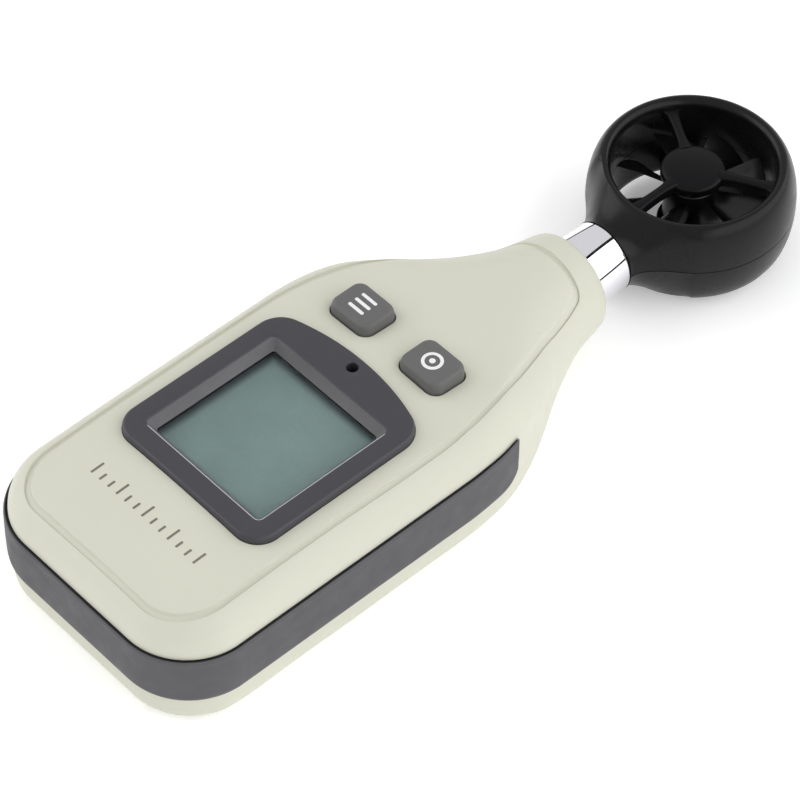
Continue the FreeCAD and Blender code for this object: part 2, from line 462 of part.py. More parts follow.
head_screws = []
for a in HEAD_SCREWS:
    x, y = 12.55 * math.cos(math.radians(a)), RING_Y + 12.55 * math.sin(math.radians(a))
    head_screws.append(cyl(1.1, x, y, NECK_Z - 5.9, NECK_Z - 5.0).fuse(cyl(0.45, x, y, NECK_Z - 5.1, NECK_Z + 4.0)))
head_screws = Part.makeCompound(head_screws)

# impeller: hub with eight twisted blades
def blade():
    """Flat pitched vane, wider towards its tip."""
    w = Part.makePolygon([V(3.0, -2.3, -0.28), V(11.5, -4.3, -0.28), V(11.5, 4.3, -0.28), V(3.0, 2.3, -0.28), V(3.0, -2.3, -0.28)])
    p = Part.Face(w).extrude(V(0, 0, 0.56))
    p.rotate(V(0, 0, 0), V(1, 0, 0), BLADE_PITCH)
    ring = Part.makeCylinder(IMP_TIP_R, 2 * (IMP_HH - 0.4), V(0, 0, -IMP_HH + 0.4), V(0, 0, 1))
    return p.common(ring)

imp_hub = Part.makeCylinder(IMP_HUB_R, 2 * IMP_HH, V(0, 0, -IMP_HH), V(0, 0, 1))
impeller = imp_hub
b0 = blade()
vanes = []
for k in range(N_BLADES):
    b = b0.copy()
    b.rotate(V(0, 0, 0), V(0, 0, 1), k * 360.0 / N_BLADES + 12.0)
    vanes.append(b)
impeller = imp_hub.fuse(vanes).removeSplitter()
impeller = impeller.cut(Part.makeCylinder(SHAFT_R, 20, V(0, 0, -10), V(0, 0, 1)))
impeller = impeller.cut(Part.makeCylinder(0.8, 2.0, V(0, -2.4, -IMP_HH), V(0, 0, 1)))
impeller = impeller.cut(Part.makeCylinder(0.8, 2.0, V(0, 2.4, -IMP_HH), V(0, 0, 1)))
magnet = Part.makeCompound([Part.makeCylinder(0.8, 1.9, V(0, s * 2.4, -IMP_HH + 0.1), V(0, 0, 1)) for s in (-1, 1)])
shaft = Part.makeCylinder(SHAFT_R, 9.8, V(0, 0, -4.9), V(0, 0, 1))
for s in (impeller, magnet, shaft):
    s.translate(V(0, RING_Y, NECK_Z))
def bearing(s):
    b = Part.makeCylinder(BEARING_R, 1.5, V(0, RING_Y, NECK_Z + (3.8 if s > 0 else -5.3)), V(0, 0, 1))
    return b.cut(Part.makeCylinder(SHAFT_R + 0.03, 1.2, V(0, RING_Y, NECK_Z + (3.7 if s > 0 else -4.95)), V(0, 0, 1)))
front_bearing, rear_bearing = bearing(1), bearing(-1)
hall = box(-1.1, 1.1, RING_Y - 3.5, RING_Y - 1.8, NECK_Z - 5.05, NECK_Z - 4.0)

# sensor lead: straight runs joined by tangent arcs, from the sensor to the board socket
def tube_path(pts, bends, r):
    E, prev = [], V(*pts[0])
    for i in range(1, len(pts) - 1):
        p0, p1, p2 = V(*pts[i - 1]), V(*pts[i]), V(*pts[i + 1])
        d0, d1 = (p1 - p0).normalize(), (p2 - p1).normalize()
        ang = math.acos(max(-1.0, min(1.0, d0.dot(d1))))
        t = bends[i - 1] * math.tan(ang / 2)
        a, b = p1 - d0 * t, p1 + d1 * t
        n = (d1 - d0).normalize()
        m = p1 + n * (bends[i - 1] / math.cos(ang / 2) - bends[i - 1])
        E.append(Part.makeLine(prev, a))
        E.append(Part.Arc(a, m, b).toShape())
        prev = b
        print("lead bend radius %.2f mm" % bends[i - 1])
    E.append(Part.makeLine(prev, V(*pts[-1])))
    w = Part.Wire(E)
    circ = Part.Wire([Part.makeCircle(r, V(*pts[0]), (V(*pts[1]) - V(*pts[0])))])
    return w.makePipeShell([circ], True, False), w.Length
lead_r = 0.38
lead, lead_len = tube_path([(0, RING_Y - 3.5, NECK_Z - 4.53), (0, 34.9, NECK_Z - 4.53), (0, 33.1, NECK_Z), (0, 1.6, NECK_Z)], (1.2, 2.4), lead_r)
print("lead length %.1f mm, volume ratio %.3f" % (lead_len, lead.Volume / (math.pi * lead_r**2 * lead_len)))

# ------------------------------------------------------------------ case screws
case_screws = Part.makeCompound([cyl(1.7, x, y, 0.55, 1.85).cut(box(x - 1.2, x + 1.2, y - 0.2, y + 0.2, 0.3, 0.95)).cut(box(x - 0.2, x + 0.2, y - 1.2, y + 1.2, 0.3, 0.95)).fuse(cyl(0.75, x, y, 1.8, 14.6)) for x, y in SCREWS])

# clean the front shell of anything in the buttons' or the bezel skirt's path
front = front.cut(box(-11.35, 11.35, WIN_CY - 11.35, WIN_CY + 11.35, 13, 25))
holder = holder.common(box(-30, 30, -60, 0, 0, 16.3))

NODES = {
    "front_shell": front, "rear_shell": rear, "side_band": side_band, "battery_door": door,
    "display_bezel": bezel, "display_lens": lens, "lcd_panel": lcd, "lcd_holder": holder,
    "connector_strips": conn_strips, "main_board": pcb, "controller_chip": chip, "quartz_crystal": crystal,
    "chip_capacitors": caps, "tact_switches": switches, "board_screws": pcb_screws, "temperature_sensor": thermistor,
    "lead_socket": lead_socket, "mode_button": mode_button, "set_button": set_button,
    "coin_cell": cell, "battery_tray": tray, "negative_spring_contact": neg, "positive_contact": pos,
    "neck_tube": tube, "retaining_clip": clip, "wave_washer": washer, "neck_bushing": bushing,
    "head_front_shell": head_front, "head_rear_shell": head_rear, "head_screws": head_screws,
    "impeller": impeller, "impeller_shaft": shaft, "impeller_magnets": magnet, "front_bearing": front_bearing,
    "rear_bearing": rear_bearing, "hall_sensor": hall, "sensor_lead": lead, "case_screws": case_screws,
}
for name, s in NODES.items():
    s.exportStep("parts/%s.step" % name)
    print("%-26s solids %d valid %s vol %9.2f  x %.2f..%.2f y %.2f..%.2f z %.2f..%.2f" % (
        name, len(s.Solids), s.isValid(), s.Volume, s.BoundBox.XMin, s.BoundBox.XMax, s.BoundBox.YMin, s.BoundBox.YMax, s.BoundBox.ZMin, s.BoundBox.ZMax))
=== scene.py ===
import bpy, bmesh, math
import numpy as np
from mathutils import Vector, Matrix
from mathutils.geometry import delaunay_2d_cdt


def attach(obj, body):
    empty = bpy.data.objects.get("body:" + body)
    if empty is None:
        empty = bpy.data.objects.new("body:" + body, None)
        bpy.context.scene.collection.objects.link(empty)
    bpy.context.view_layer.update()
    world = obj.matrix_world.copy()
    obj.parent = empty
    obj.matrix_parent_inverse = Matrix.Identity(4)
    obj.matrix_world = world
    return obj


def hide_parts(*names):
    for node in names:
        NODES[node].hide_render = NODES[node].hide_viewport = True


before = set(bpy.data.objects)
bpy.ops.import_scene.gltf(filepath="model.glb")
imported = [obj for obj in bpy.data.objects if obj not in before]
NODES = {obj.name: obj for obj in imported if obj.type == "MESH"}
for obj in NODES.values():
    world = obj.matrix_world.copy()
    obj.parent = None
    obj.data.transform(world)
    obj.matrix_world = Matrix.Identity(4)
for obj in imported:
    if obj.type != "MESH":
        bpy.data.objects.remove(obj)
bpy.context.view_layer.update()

MM = 0.001

# ====================================================================== materials
def _links(nt):
    return nt.nodes, nt.links

def plastic(name, col, rough=0.45, rvar=0.08, bump=0.15, bscale=2600.0, spec=0.5, var=0.04, coat=0.0, metal=0.0,
            edge=0.0, wear=0.0, speck=0.0, crough=0.1):
    """Moulded surface: base colour drift, fine grain bump, roughness variation and light edge wear; speck is not used.
    """
    m = bpy.data.materials.new(name)
    m.use_nodes = True
    N, L = _links(m.node_tree)
    bs = N["Principled BSDF"]
    bs.inputs["Metallic"].default_value = metal
    bs.inputs["Specular IOR Level"].default_value = spec
    bs.inputs["Coat Weight"].default_value = coat
    bs.inputs["Coat Roughness"].default_value = crough
    tc = N.new("ShaderNodeTexCoord")
    big = N.new("ShaderNodeTexNoise"); big.inputs["Scale"].default_value = 55.0; big.inputs["Detail"].default_value = 3.0
    mid = N.new("ShaderNodeTexNoise"); mid.inputs["Scale"].default_value = 420.0; mid.inputs["Detail"].default_value = 4.0
    fine = N.new("ShaderNodeTexNoise"); fine.inputs["Scale"].default_value = bscale; fine.inputs["Detail"].default_value = 2.0
    for t in (big, mid, fine):
        L.new(tc.outputs["Object"], t.inputs["Vector"])
    cr = N.new("ShaderNodeValToRGB")
    cr.color_ramp.elements[0].position = 0.3
    cr.color_ramp.elements[1].position = 0.7
    a = [max(0.0, c * (1 - var)) for c in col]
    b = [min(1.0, c * (1 + var)) for c in col]
    cr.color_ramp.elements[0].color = (*a, 1)
    cr.color_ramp.elements[1].color = (*b, 1)
    L.new(big.outputs["Fac"], cr.inputs["Fac"])
    col_out = cr.outputs["Color"]
    if wear > 0:
        geo = N.new("ShaderNodeNewGeometry")
        wr = N.new("ShaderNodeValToRGB")
        wr.color_ramp.elements[0].position = 0.52
        wr.color_ramp.elements[1].position = 0.62
        L.new(geo.outputs["Pointiness"], wr.inputs["Fac"])
        mul = N.new("ShaderNodeMath"); mul.operation = "MULTIPLY"
        L.new(wr.outputs["Color"], mul.inputs[0]); L.new(mid.outputs["Fac"], mul.inputs[1])
        mx = N.new("ShaderNodeMix"); mx.data_type = "RGBA"
        mul2 = N.new("ShaderNodeMath"); mul2.operation = "MULTIPLY"; mul2.inputs[1].default_value = wear
        L.new(mul.outputs[0], mul2.inputs[0])
        L.new(mul2.outputs[0], mx.inputs["Factor"])
        L.new(col_out, mx.inputs["A"])
        mx.inputs["B"].default_value = (*[min(1, c * 1.8 + 0.03) for c in col], 1)
        col_out = mx.outputs["Result"]
    L.new(col_out, bs.inputs["Base Color"])
    rr = N.new("ShaderNodeMapRange")
    rr.inputs["From Min"].default_value = 0.3; rr.inputs["From Max"].default_value = 0.7
    rr.inputs["To Min"].default_value = max(0.03, rough - rvar); rr.inputs["To Max"].default_value = min(1.0, rough + rvar)
    L.new(mid.outputs["Fac"], rr.inputs["Value"])
    L.new(rr.outputs["Result"], bs.inputs["Roughness"])
    if bump > 0:
        bp = N.new("ShaderNodeBump")
        bp.inputs["Strength"].default_value = bump
        bp.inputs["Distance"].default_value = 0.00004
        L.new(fine.outputs["Fac"], bp.inputs["Height"])
        L.new(bp.outputs["Normal"], bs.inputs["Normal"])
    return m

def srgb(r, g, b):
    f = lambda c: ((c / 255.0 + 0.055) / 1.055) ** 2.4 if c / 255.0 > 0.04045 else c / 255.0 / 12.92
    return (f(r), f(g), f(b))

M = {}
M["cream"] = plastic("cream_shell", srgb(205, 205, 189), rough=0.48, bump=0.22, bscale=2400.0, var=0.012, spec=0.4)
M["cream_in"] = plastic("cream_inner", srgb(196, 193, 176), rough=0.6, bump=0.1, var=0.02)
M["band"] = plastic("band_rubber", srgb(80, 80, 82), rough=0.55, bump=0.45, bscale=3200.0, var=0.03, spec=0.35, wear=0.15)
M["bezel"] = plastic("bezel_grey", srgb(60, 59, 64), rough=0.42, bump=0.35, bscale=3600.0, var=0.03, spec=0.45)
# painted light: a lighter copy of the bezel grey for the window's inner slopes, standing in for the light falling on
# them
M["slope"] = plastic("slope_painted_light", srgb(98, 98, 99), rough=0.5, bump=0.9, bscale=2400.0, var=0.10, spec=0.4)
# painted highlight: light grey standing in for the glint along the window's top edge on the near sides
M["edge"] = plastic("edge_painted_highlight", srgb(196, 196, 200), rough=0.35, bump=0.3, bscale=3600.0, var=0.03, spec=0.5)
M["button"] = plastic("button_grey", srgb(98, 98, 97), rough=0.46, bump=0.3, bscale=3000.0, var=0.03, spec=0.4, wear=0.2)
M["head"] = plastic("head_black", srgb(13, 13, 14), rough=0.29, rvar=0.05, bump=0.10, bscale=2600.0, var=0.04, spec=0.24)
M["hub"] = plastic("hub_grey", srgb(13, 13, 15), rough=0.34, rvar=0.05, bump=0.2, bscale=2600.0, var=0.03, spec=0.14)
M["imp"] = plastic("impeller_black", srgb(14, 14, 15), rough=0.3, rvar=0.08, bump=0.1, bscale=1800.0, var=0.05, spec=0.4)
M["ink"] = plastic("printed_grey", srgb(118, 113, 104), rough=0.55, bump=0.3, bscale=5200.0, var=0.10, spec=0.3)
M["ink_white"] = plastic("printed_white", srgb(232, 232, 232), rough=0.5, bump=0.3, bscale=5200.0, var=0.03, spec=0.3)
M["black"] = plastic("moulded_black", (0.02, 0.02, 0.021), rough=0.5, bump=0.3, var=0.1)
M["rubber"] = plastic("elastomer", (0.03, 0.03, 0.032), rough=0.7, bump=0.5, var=0.15, spec=0.3)
M["white"] = plastic("natural_acetal", srgb(225, 224, 216), rough=0.5, bump=0.15, var=0.02)
M["ceramic"] = plastic("ceramic_tan", srgb(176, 140, 98), rough=0.6, bump=0.4, var=0.12)
M["chrome"] = plastic("chrome_plate", (0.86, 0.86, 0.89), rough=0.045, rvar=0.012, bump=0.015, bscale=900.0, var=0.01, metal=1.0)
M["steel"] = plastic("plated_steel", (0.62, 0.62, 0.62), rough=0.3, rvar=0.1, bump=0.2, bscale=1800.0, var=0.06, metal=1.0)
M["contact"] = plastic("contact_metal", (0.75, 0.68, 0.5), rough=0.28, rvar=0.08, bump=0.1, var=0.06, metal=1.0)
M["brass"] = plastic("bearing_brass", (0.72, 0.52, 0.27), rough=0.3, rvar=0.08, bump=0.1, var=0.06, metal=1.0)

def board_material():
    m = plastic("board_green", srgb(24, 84, 48), rough=0.35, bump=0.2, var=0.08)
    N, L = _links(m.node_tree)
    bs = N["Principled BSDF"]
    tc = [n for n in N if n.type == "TEX_COORD"][0]
    br = N.new("ShaderNodeTexBrick")
    br.inputs["Scale"].default_value = 420.0
    br.inputs["Mortar Size"].default_value = 0.05
    br.inputs["Color1"].default_value = (0.008, 0.085, 0.03, 1)
    br.inputs["Color2"].default_value = (0.01, 0.1, 0.035, 1)
    br.inputs["Mortar"].default_value = (0.03, 0.2, 0.08, 1)
    L.new(tc.outputs["Object"], br.inputs["Vector"])
    L.new(br.outputs["Color"], bs.inputs["Base Color"])
    return m
M["board"] = board_material()

def lcd_material():
    m = bpy.data.materials.new("lcd_panel_face")
    m.use_nodes = True
    N, L = _links(m.node_tree)
    bs = N["Principled BSDF"]
    tc = N.new("ShaderNodeTexCoord")
    nz = N.new("ShaderNodeTexNoise"); nz.inputs["Scale"].default_value = 90.0; nz.inputs["Detail"].default_value = 2.0
    L.new(tc.outputs["Object"], nz.inputs["Vector"])
    cr = N.new("ShaderNodeValToRGB")
    cr.color_ramp.elements[0].position = 0.35; cr.color_ramp.elements[1].position = 0.65
    cr.color_ramp.elements[0].color = (*srgb(134, 156, 154), 1)
    cr.color_ramp.elements[1].color = (*srgb(144, 166, 163), 1)
    L.new(nz.outputs["Fac"], cr.inputs["Fac"])
    # a faint cell structure
    vo = N.new("ShaderNodeTexVoronoi"); vo.inputs["Scale"].default_value = 3500.0
    L.new(tc.outputs["Object"], vo.inputs["Vector"])
    mx = N.new("ShaderNodeMix"); mx.data_type = "RGBA"; mx.blend_type = "MULTIPLY"
    mx.inputs["Factor"].default_value = 0.06
    L.new(cr.outputs["Color"], mx.inputs["A"]); L.new(vo.outputs["Color"], mx.inputs["B"])
    sp = N.new("ShaderNodeSeparateXYZ")
    L.new(tc.outputs["Object"], sp.inputs["Vector"])
    def mnode(op, a, b):
        n = N.new("ShaderNodeMath"); n.operation = op
        for i, q in enumerate((a, b)):
            if isinstance(q, float):
                n.inputs[i].default_value = q
            elif q is not None:
                L.new(q, n.inputs[i])
        return n.outputs[0]
    # painted shade: the LCD colour darkens towards its edges, standing in for the shadow the window slopes cast on it
    ax = mnode("ABSOLUTE", sp.outputs["X"], None)
    ay = mnode("ABSOLUTE", mnode("ADD", sp.outputs["Y"], 0.0288), None)
    far = mnode("MAXIMUM", ax, ay)
    edge = N.new("ShaderNodeMapRange")
    edge.interpolation_type = "SMOOTHSTEP"
    edge.inputs["From Min"].default_value = 0.0086
    edge.inputs["From Max"].default_value = 0.0102
    edge.inputs["To Min"].default_value = 0.0
    edge.inputs["To Max"].default_value = 0.85
    L.new(far, edge.inputs["Value"])
    mx2 = N.new("ShaderNodeMix"); mx2.data_type = "RGBA"
    L.new(edge.outputs["Result"], mx2.inputs["Factor"])
    L.new(mx.outputs["Result"], mx2.inputs["A"])
    mx2.inputs["B"].default_value = (*srgb(70, 72, 78), 1)
    L.new(mx2.outputs["Result"], bs.inputs["Base Color"])
    rr = N.new("ShaderNodeMapRange")
    rr.inputs["To Min"].default_value = 0.28; rr.inputs["To Max"].default_value = 0.4
    L.new(nz.outputs["Fac"], rr.inputs["Value"]); L.new(rr.outputs["Result"], bs.inputs["Roughness"])
    bs.inputs["Specular IOR Level"].default_value = 0.35
    return m
M["lcd"] = lcd_material()

def lens_material():
    m = bpy.data.materials.new("clear_window")
    m.use_nodes = True
    N, L = _links(m.node_tree)
    bs = N["Principled BSDF"]
    bs.inputs["Transmission Weight"].default_value = 1.0
    bs.inputs["IOR"].default_value = 1.25
    bs.inputs["Base Color"].default_value = (0.93, 0.96, 0.95, 1)
    tc = N.new("ShaderNodeTexCoord")
    nz = N.new("ShaderNodeTexNoise"); nz.inputs["Scale"].default_value = 700.0
    L.new(tc.outputs["Object"], nz.inputs["Vector"])
    rr = N.new("ShaderNodeMapRange")
    rr.inputs["To Min"].default_value = 0.02; rr.inputs["To Max"].default_value = 0.07
    L.new(nz.outputs["Fac"], rr.inputs["Value"]); L.new(rr.outputs["Result"], bs.inputs["Roughness"])
    return m
M["lens"] = lens_material()

# ====================================================================== mesh helpers
def add_mesh(name, verts, faces, mat, smooth=True, merge=0.0, angle=None, fill=False):
    """verts in millimetres."""
    me = bpy.data.meshes.new(name)
    me.from_pydata([(x * MM, y * MM, z * MM) for x, y, z in verts], [], [list(f) for f in faces])
    me.validate()
    ob = bpy.data.objects.new(name, me)
    bpy.context.scene.collection.objects.link(ob)
    bm = bmesh.new(); bm.from_mesh(me)
    if merge:
        bmesh.ops.remove_doubles(bm, verts=bm.verts, dist=merge * MM)
        bmesh.ops.dissolve_degenerate(bm, dist=merge * MM, edges=bm.edges)
    open_edges = [e for e in bm.edges if e.is_boundary]
    if fill and open_edges:
        bmesh.ops.holes_fill(bm, edges=open_edges, sides=8)
    bmesh.ops.recalc_face_normals(bm, faces=bm.faces)
    for f in bm.faces:
        f.smooth = smooth
    if angle is not None:
        for e in bm.edges:
            if len(e.link_faces) == 2 and e.calc_face_angle(0.0) > math.radians(angle):
                e.smooth = False
    bm.to_mesh(me); bm.free()
    me.materials.append(mat)
    return ob

def grid_faces(rows, n, closed=True, off=0):
    F = []
    for j in range(rows - 1):
        for i in range(n if closed else n - 1):
            a = off + j * n + i
            b = off + j * n + (i + 1) % n
            F.append((a, b, b + n, a + n))
    return F

def lathe(name, prof, centre, mat, n=96, axis="z", angle=35, cap=True, merge=1e-4):
    """prof: (r, h) list from one end to the other; r may be 0 at an end."""
    V, F = [], []
    if prof[0] != prof[-1] and prof[-1][0] > 0:
        prof = list(prof) + [prof[0]]
    if prof[-1][0] == 0 and prof[0][0] > 0:
        prof = [(0.0, prof[0][1])] + list(prof)
    for r, h in prof:
        for i in range(n):
            t = 2 * math.pi * i / n
            c, s = r * math.cos(t), r * math.sin(t)
            if axis == "z":
                V.append((centre[0] + c, centre[1] + s, centre[2] + h))
            else:
                V.append((centre[0] + c, centre[1] + h, centre[2] + s))
    F = grid_faces(len(prof), n)
    return add_mesh(name, V, F, mat, merge=merge, angle=angle)

def join(name, objs):
    """Joins several mesh objects into one, keeping material slots."""
    base = objs[0]
    with bpy.context.temp_override(active_object=base, selected_editable_objects=objs, selected_objects=objs, object=base):
        bpy.ops.object.join()
    base.name = name
    base.data.name = name
    return base

def rrect_pts(hw, hh, r, cx, cy, n=8):
    P = []
    for (sx, sy, a0) in ((1, -1, -90), (1, 1, 0), (-1, 1, 90), (-1, -1, 180)):
        for k in range(n + 1):
            a = math.radians(a0 + 90.0 * k / n)
            P.append((cx + sx * (hw - r) + r * math.cos(a), cy + sy * (hh - r) + r * math.sin(a)))
    return P

def table(tab, y):
    n = len(tab)
    if y <= tab[0][0]:
        return tab[0][1]
    if y >= tab[-1][0]:
        return tab[-1][1]
    d = [(tab[i + 1][1] - tab[i][1]) / (tab[i + 1][0] - tab[i][0]) for i in range(n - 1)]
    m = [d[0]] + [0.0 if d[i - 1] * d[i] <= 0 else 2 * d[i - 1] * d[i] / (d[i - 1] + d[i]) for i in range(1, n - 1)] + [d[-1]]
    for i in range(n - 1):
        if y <= tab[i + 1][0]:
            h = tab[i + 1][0] - tab[i][0]
            t = (y - tab[i][0]) / h
            return ((2 * t**3 - 3 * t**2 + 1) * tab[i][1] + (t**3 - 2 * t**2 + t) * h * m[i]
                    + (-2 * t**3 + 3 * t**2) * tab[i + 1][1] + (t**3 - t**2) * h * m[i + 1])

def smooth(t):
    t = max(0.0, min(1.0, t))
    return t * t * (3 - 2 * t)

# ====================================================================== case form (same numbers as the design)
CX, CY, CR = 9.92, -50.2, 9.5
TA, TB, BA, BB = 3.7, 6.0, 2.6, 2.6
NZ = 7.7
YEND = 24.4
SPLIT = 7.7
HW = [(-50.2, 19.4), (-20.0, 19.4), (-12.65, 19.4), (-7.65, 19.1), (-3.15, 18.25), (2.85, 16.0), (7.35, 13.6),
      (10.85, 11.7), (14.35, 10.1), (17.35, 8.9), (20.35, 8.05), (22.6, 7.55), (23.6, 7.2), (24.15, 6.75), (24.4, 6.2)]
ZT = [(-60.0, 19.0), (-11.0, 19.0), (-6.0, 18.8), (-1.0, 18.35), (4.0, 17.75), (9.0, 17.0), (14.0, 16.2), (19.0, 15.4),
      (22.0, 15.05), (23.6, 14.8), (24.15, 14.4), (24.4, 13.9)]
ZB = [(-60.0, 0.0), (6.0, 0.0), (14.0, 0.12), (20.0, 0.3), (22.6, 0.45), (23.6, 0.65), (24.15, 1.05), (24.4, 1.5)]
BAND_Z0, BAND_Z1, BAND_TIP = 5.4, 13.0, -2.9

def hw(y, ins=0.0):
    w = table(HW, y) - ins
    if ins > 1.0:        # the inside narrows to the bushing bore in the neck
        bore = 6.7 if y < 17.0 else 6.2
        t = smooth((y - 7.0) / 5.0)
        w = w * (1 - t) + bore * t
    return w

def zlim(y, ins):
    zt, zb = table(ZT, y) - ins, table(ZB, y) + ins
    if ins > 1.0:
        bore = 6.7 if y < 17.0 else 6.2
        t = smooth((y - 7.0) / 5.0)
        zt = zt * (1 - t) + (NZ + bore) * t
        zb = zb * (1 - t) + (NZ - bore) * t
    return zt, zb

def wall_dist(x, y, ins):
    dy = max(0.0, CY - y)
    ax = abs(x)
    if dy > 0:
        return (CR - ins) - (dy if ax <= CX else math.hypot(ax - CX, dy))
    return hw(y, ins) - ax

def upper(x, y, ins=0.0):
    s = smooth((y + 4.0) / 24.0)
    w = hw(y, ins)
    zt, zb = zlim(y, ins)
    a = TA + (w - 0.05 - TA) * s - 0.6 * ins * (1 - s)
    full = TB - 0.6 * ins
    b = full + (zt - NZ - 0.02 - full) * s
    cr = 0.95 * (1 - s)
    q = min(1.0, abs(x) / max(w, 1e-6))
    e2 = max(0.0, (-34.0 - y) / 26.0) ** 2
    top = zt - cr * q * q - 0.95 * e2
    bb = b - cr * q * q - 0.95 * e2
    t = max(0.0, min(1.0, wall_dist(x, y, ins) / a))
    return top - bb * (1 - math.sqrt(max(0.0, 1 - (1 - t) ** 2)))

def lower(x, y, ins=0.0):
    s = smooth((y + 4.0) / 24.0)
    w = hw(y, ins)
    zt, zb = zlim(y, ins)
    c = BA + (w - 0.05 - BA) * s - 0.6 * ins * (1 - s)
    full = BB - 0.6 * ins
    d = full + (NZ - 0.02 - zb - full) * s
    t = max(0.0, min(1.0, wall_dist(x, y, ins) / c))
    return zb + d * (1 - math.sqrt(max(0.0, 1 - (1 - t) ** 2)))

# perimeter stations: right half from the bottom centre to the mouth centre
def stations():
    S = []
    for k in range(12):
        S.append(("b", k / 12.0))
    for k in range(22):
        S.append(("c", k / 22.0))
    ys = list(np.linspace(CY, -5.2, 52)) + list(np.linspace(-4.8, -3.0, 8)) + [-2.93, -2.88] + list(np.linspace(-2.4, 20.0, 44)) + \
        list(np.linspace(20.5, 23.4, 10)) + [23.7, 23.95, 24.12, 24.25, 24.34]
    for y in ys:
        S.append(("s", float(y)))
    for k in range(15):
        S.append(("m", k / 14.0))
    return S
ST = stations()
HALF = len(ST)

def outline(st, ins=0.0):
    kind, v = st
    R = CR - ins
    if kind == "b":
        return (CX * v, CY - R)
    if kind == "c":
        a = math.radians(-90 + 90 * v)
        return (CX + R * math.cos(a), CY + R * math.sin(a))
    if kind == "s":
        return (hw(v, ins), v)
    w = hw(YEND, ins)
    return (w * (1 - v), YEND)

GS = [(-50.2, 16.22), (-42.0, 16.22), (-32.0, 16.25), (-22.0, 16.38), (-15.0, 16.38), (-9.0, 15.9), (-3.4, 14.75), (1.9, 13.1), (6.0, 11.35),
      (9.5, 9.8), (14.2, 8.05), (17.35, 6.85), (18.0, 6.58)]
GEND = [(6.58, 18.0), (6.3, 18.75), (5.75, 19.4), (4.9, 19.8), (3.4, 20.02), (1.6, 20.13), (0.0, 20.16)]

def gpath(st, off):
    """Groove line shifted inwards by off."""
    kind, v = st
    R = 7.0 - off
    if kind == "b":
        return (CX * v, CY - R)
    if kind == "c":
        a = math.radians(-90 + 90 * v)
        return (CX + (R - 0.7) * math.cos(a), CY + R * math.sin(a))
    if kind == "s":
        y = v if v < 2.0 else 2.0 + (v - 2.0) * (18.0 - 2.0) / (YEND - 2.0)
        x = table(GS, y)
        dx = (table(GS, y + 0.2) - table(GS, y - 0.2)) / 0.4
        n = math.hypot(1, dx)
        return (x - off / n, y + off * dx / n)
    # round end
    u = v * (len(GEND) - 1)
    i = min(int(u), len(GEND) - 2)
    f = u - i
    p = [GEND[max(0, min(len(GEND) - 1, i + k))] for k in (-1, 0, 1, 2)]
    def cm(a, b, c, d):
        return 0.5 * ((2 * b) + (-a + c) * f + (2 * a - 5 * b + 4 * c - d) * f * f + (-a + 3 * b - 3 * c + d) * f ** 3)
    x, y = cm(p[0][0], p[1][0], p[2][0], p[3][0]), cm(p[0][1], p[1][1], p[2][1], p[3][1])
    cx, cy = 0.0, 15.4
    L = math.hypot(x - cx, y - cy)
    return (x - off * (x - cx) / L, y - off * (y - cy) / L)

def mirror_loop(P):
    """P: right half points, bottom centre first; returns the closed loop."""
    return P + [(-p[0],) + tuple(p[1:]) for p in reversed(P[1:-1])]

NLOOP = 2 * HALF - 2

def rec_depth(st):
    """Depth of the band's recess at a station and its lower edge."""
    kind, v = st
    y = v if kind == "s" else (-60.0 if kind in "bc" else 30.0)
    if y > BAND_TIP - 0.0:
        return 0.0, SPLIT
    r = 3.0
    k = max(0.0, y - (BAND_TIP - r))
    return 0.9, BAND_Z0 + r - math.sqrt(max(0.0, r * r - k * k))

BEZ = dict(hw=13.6, y0=-42.6, y1=-18.04, yc=-12.6, r=3.5)
BTN = dict(x=6.5, y=-6.85, w=7.3, h=6.0, r=1.5)

def panel(boundary, holes, zf, spacing=1.3):
    """Triangulated field inside a boundary loop with holes; heights from zf."""
    pts, edges, n0 = [], [], 0
    loops = [boundary] + holes
    for lp in loops:
        s = len(pts)
        pts += [Vector((p[0], p[1])) for p in lp]
        edges += [(s + i, s + (i + 1) % len(lp)) for i in range(len(lp))]
    def inside(p, poly):
        c = False
        for i in range(len(poly)):
            x1, y1 = poly[i][0], poly[i][1]; x2, y2 = poly[i - 1][0], poly[i - 1][1]
            if (y1 > p[1]) != (y2 > p[1]) and p[0] < (x2 - x1) * (p[1] - y1) / (y2 - y1) + x1:
                c = not c
        return c
    B = np.array([(p[0], p[1]) for lp in loops for p in lp])
    xs, ys = [p[0] for p in boundary], [p[1] for p in boundary]
    y = min(ys) + spacing * 0.5
    row = 0
    while y < max(ys):
        x = min(xs) + (0.5 * spacing if row % 2 else 0.0)
        while x < max(xs):
            d = np.min((B[:, 0] - x) ** 2 + (B[:, 1] - y) ** 2)
            if d > (0.55 * spacing) ** 2 and inside((x, y), boundary) and not any(inside((x, y), h) for h in holes):
                pts.append(Vector((x, y)))
            x += spacing
        y += spacing * 0.866
        row += 1
    vo, eo, fo, ov, oe, of_ = delaunay_2d_cdt(pts, edges, [], 0, 1e-6)
    V = [(v.x, v.y, zf(v.x, v.y)) for v in vo]
    F = []
    for f in fo:
        c = (sum(vo[i].x for i in f) / 3.0, sum(vo[i].y for i in f) / 3.0)
        if inside(c, boundary) and not any(inside(c, h) for h in holes):
            F.append(tuple(f))
    return V, F

class Build:
    def __init__(self):
        self.V, self.F = [], []
    def add(self, V, F):
        o = len(self.V)
        self.V += list(V); self.F += [tuple(o + i for i in f) for f in F]
    def loops(self, L, closed=True):
        n = len(L[0])
        self.add([p for lp in L for p in lp], grid_faces(len(L), n, closed))

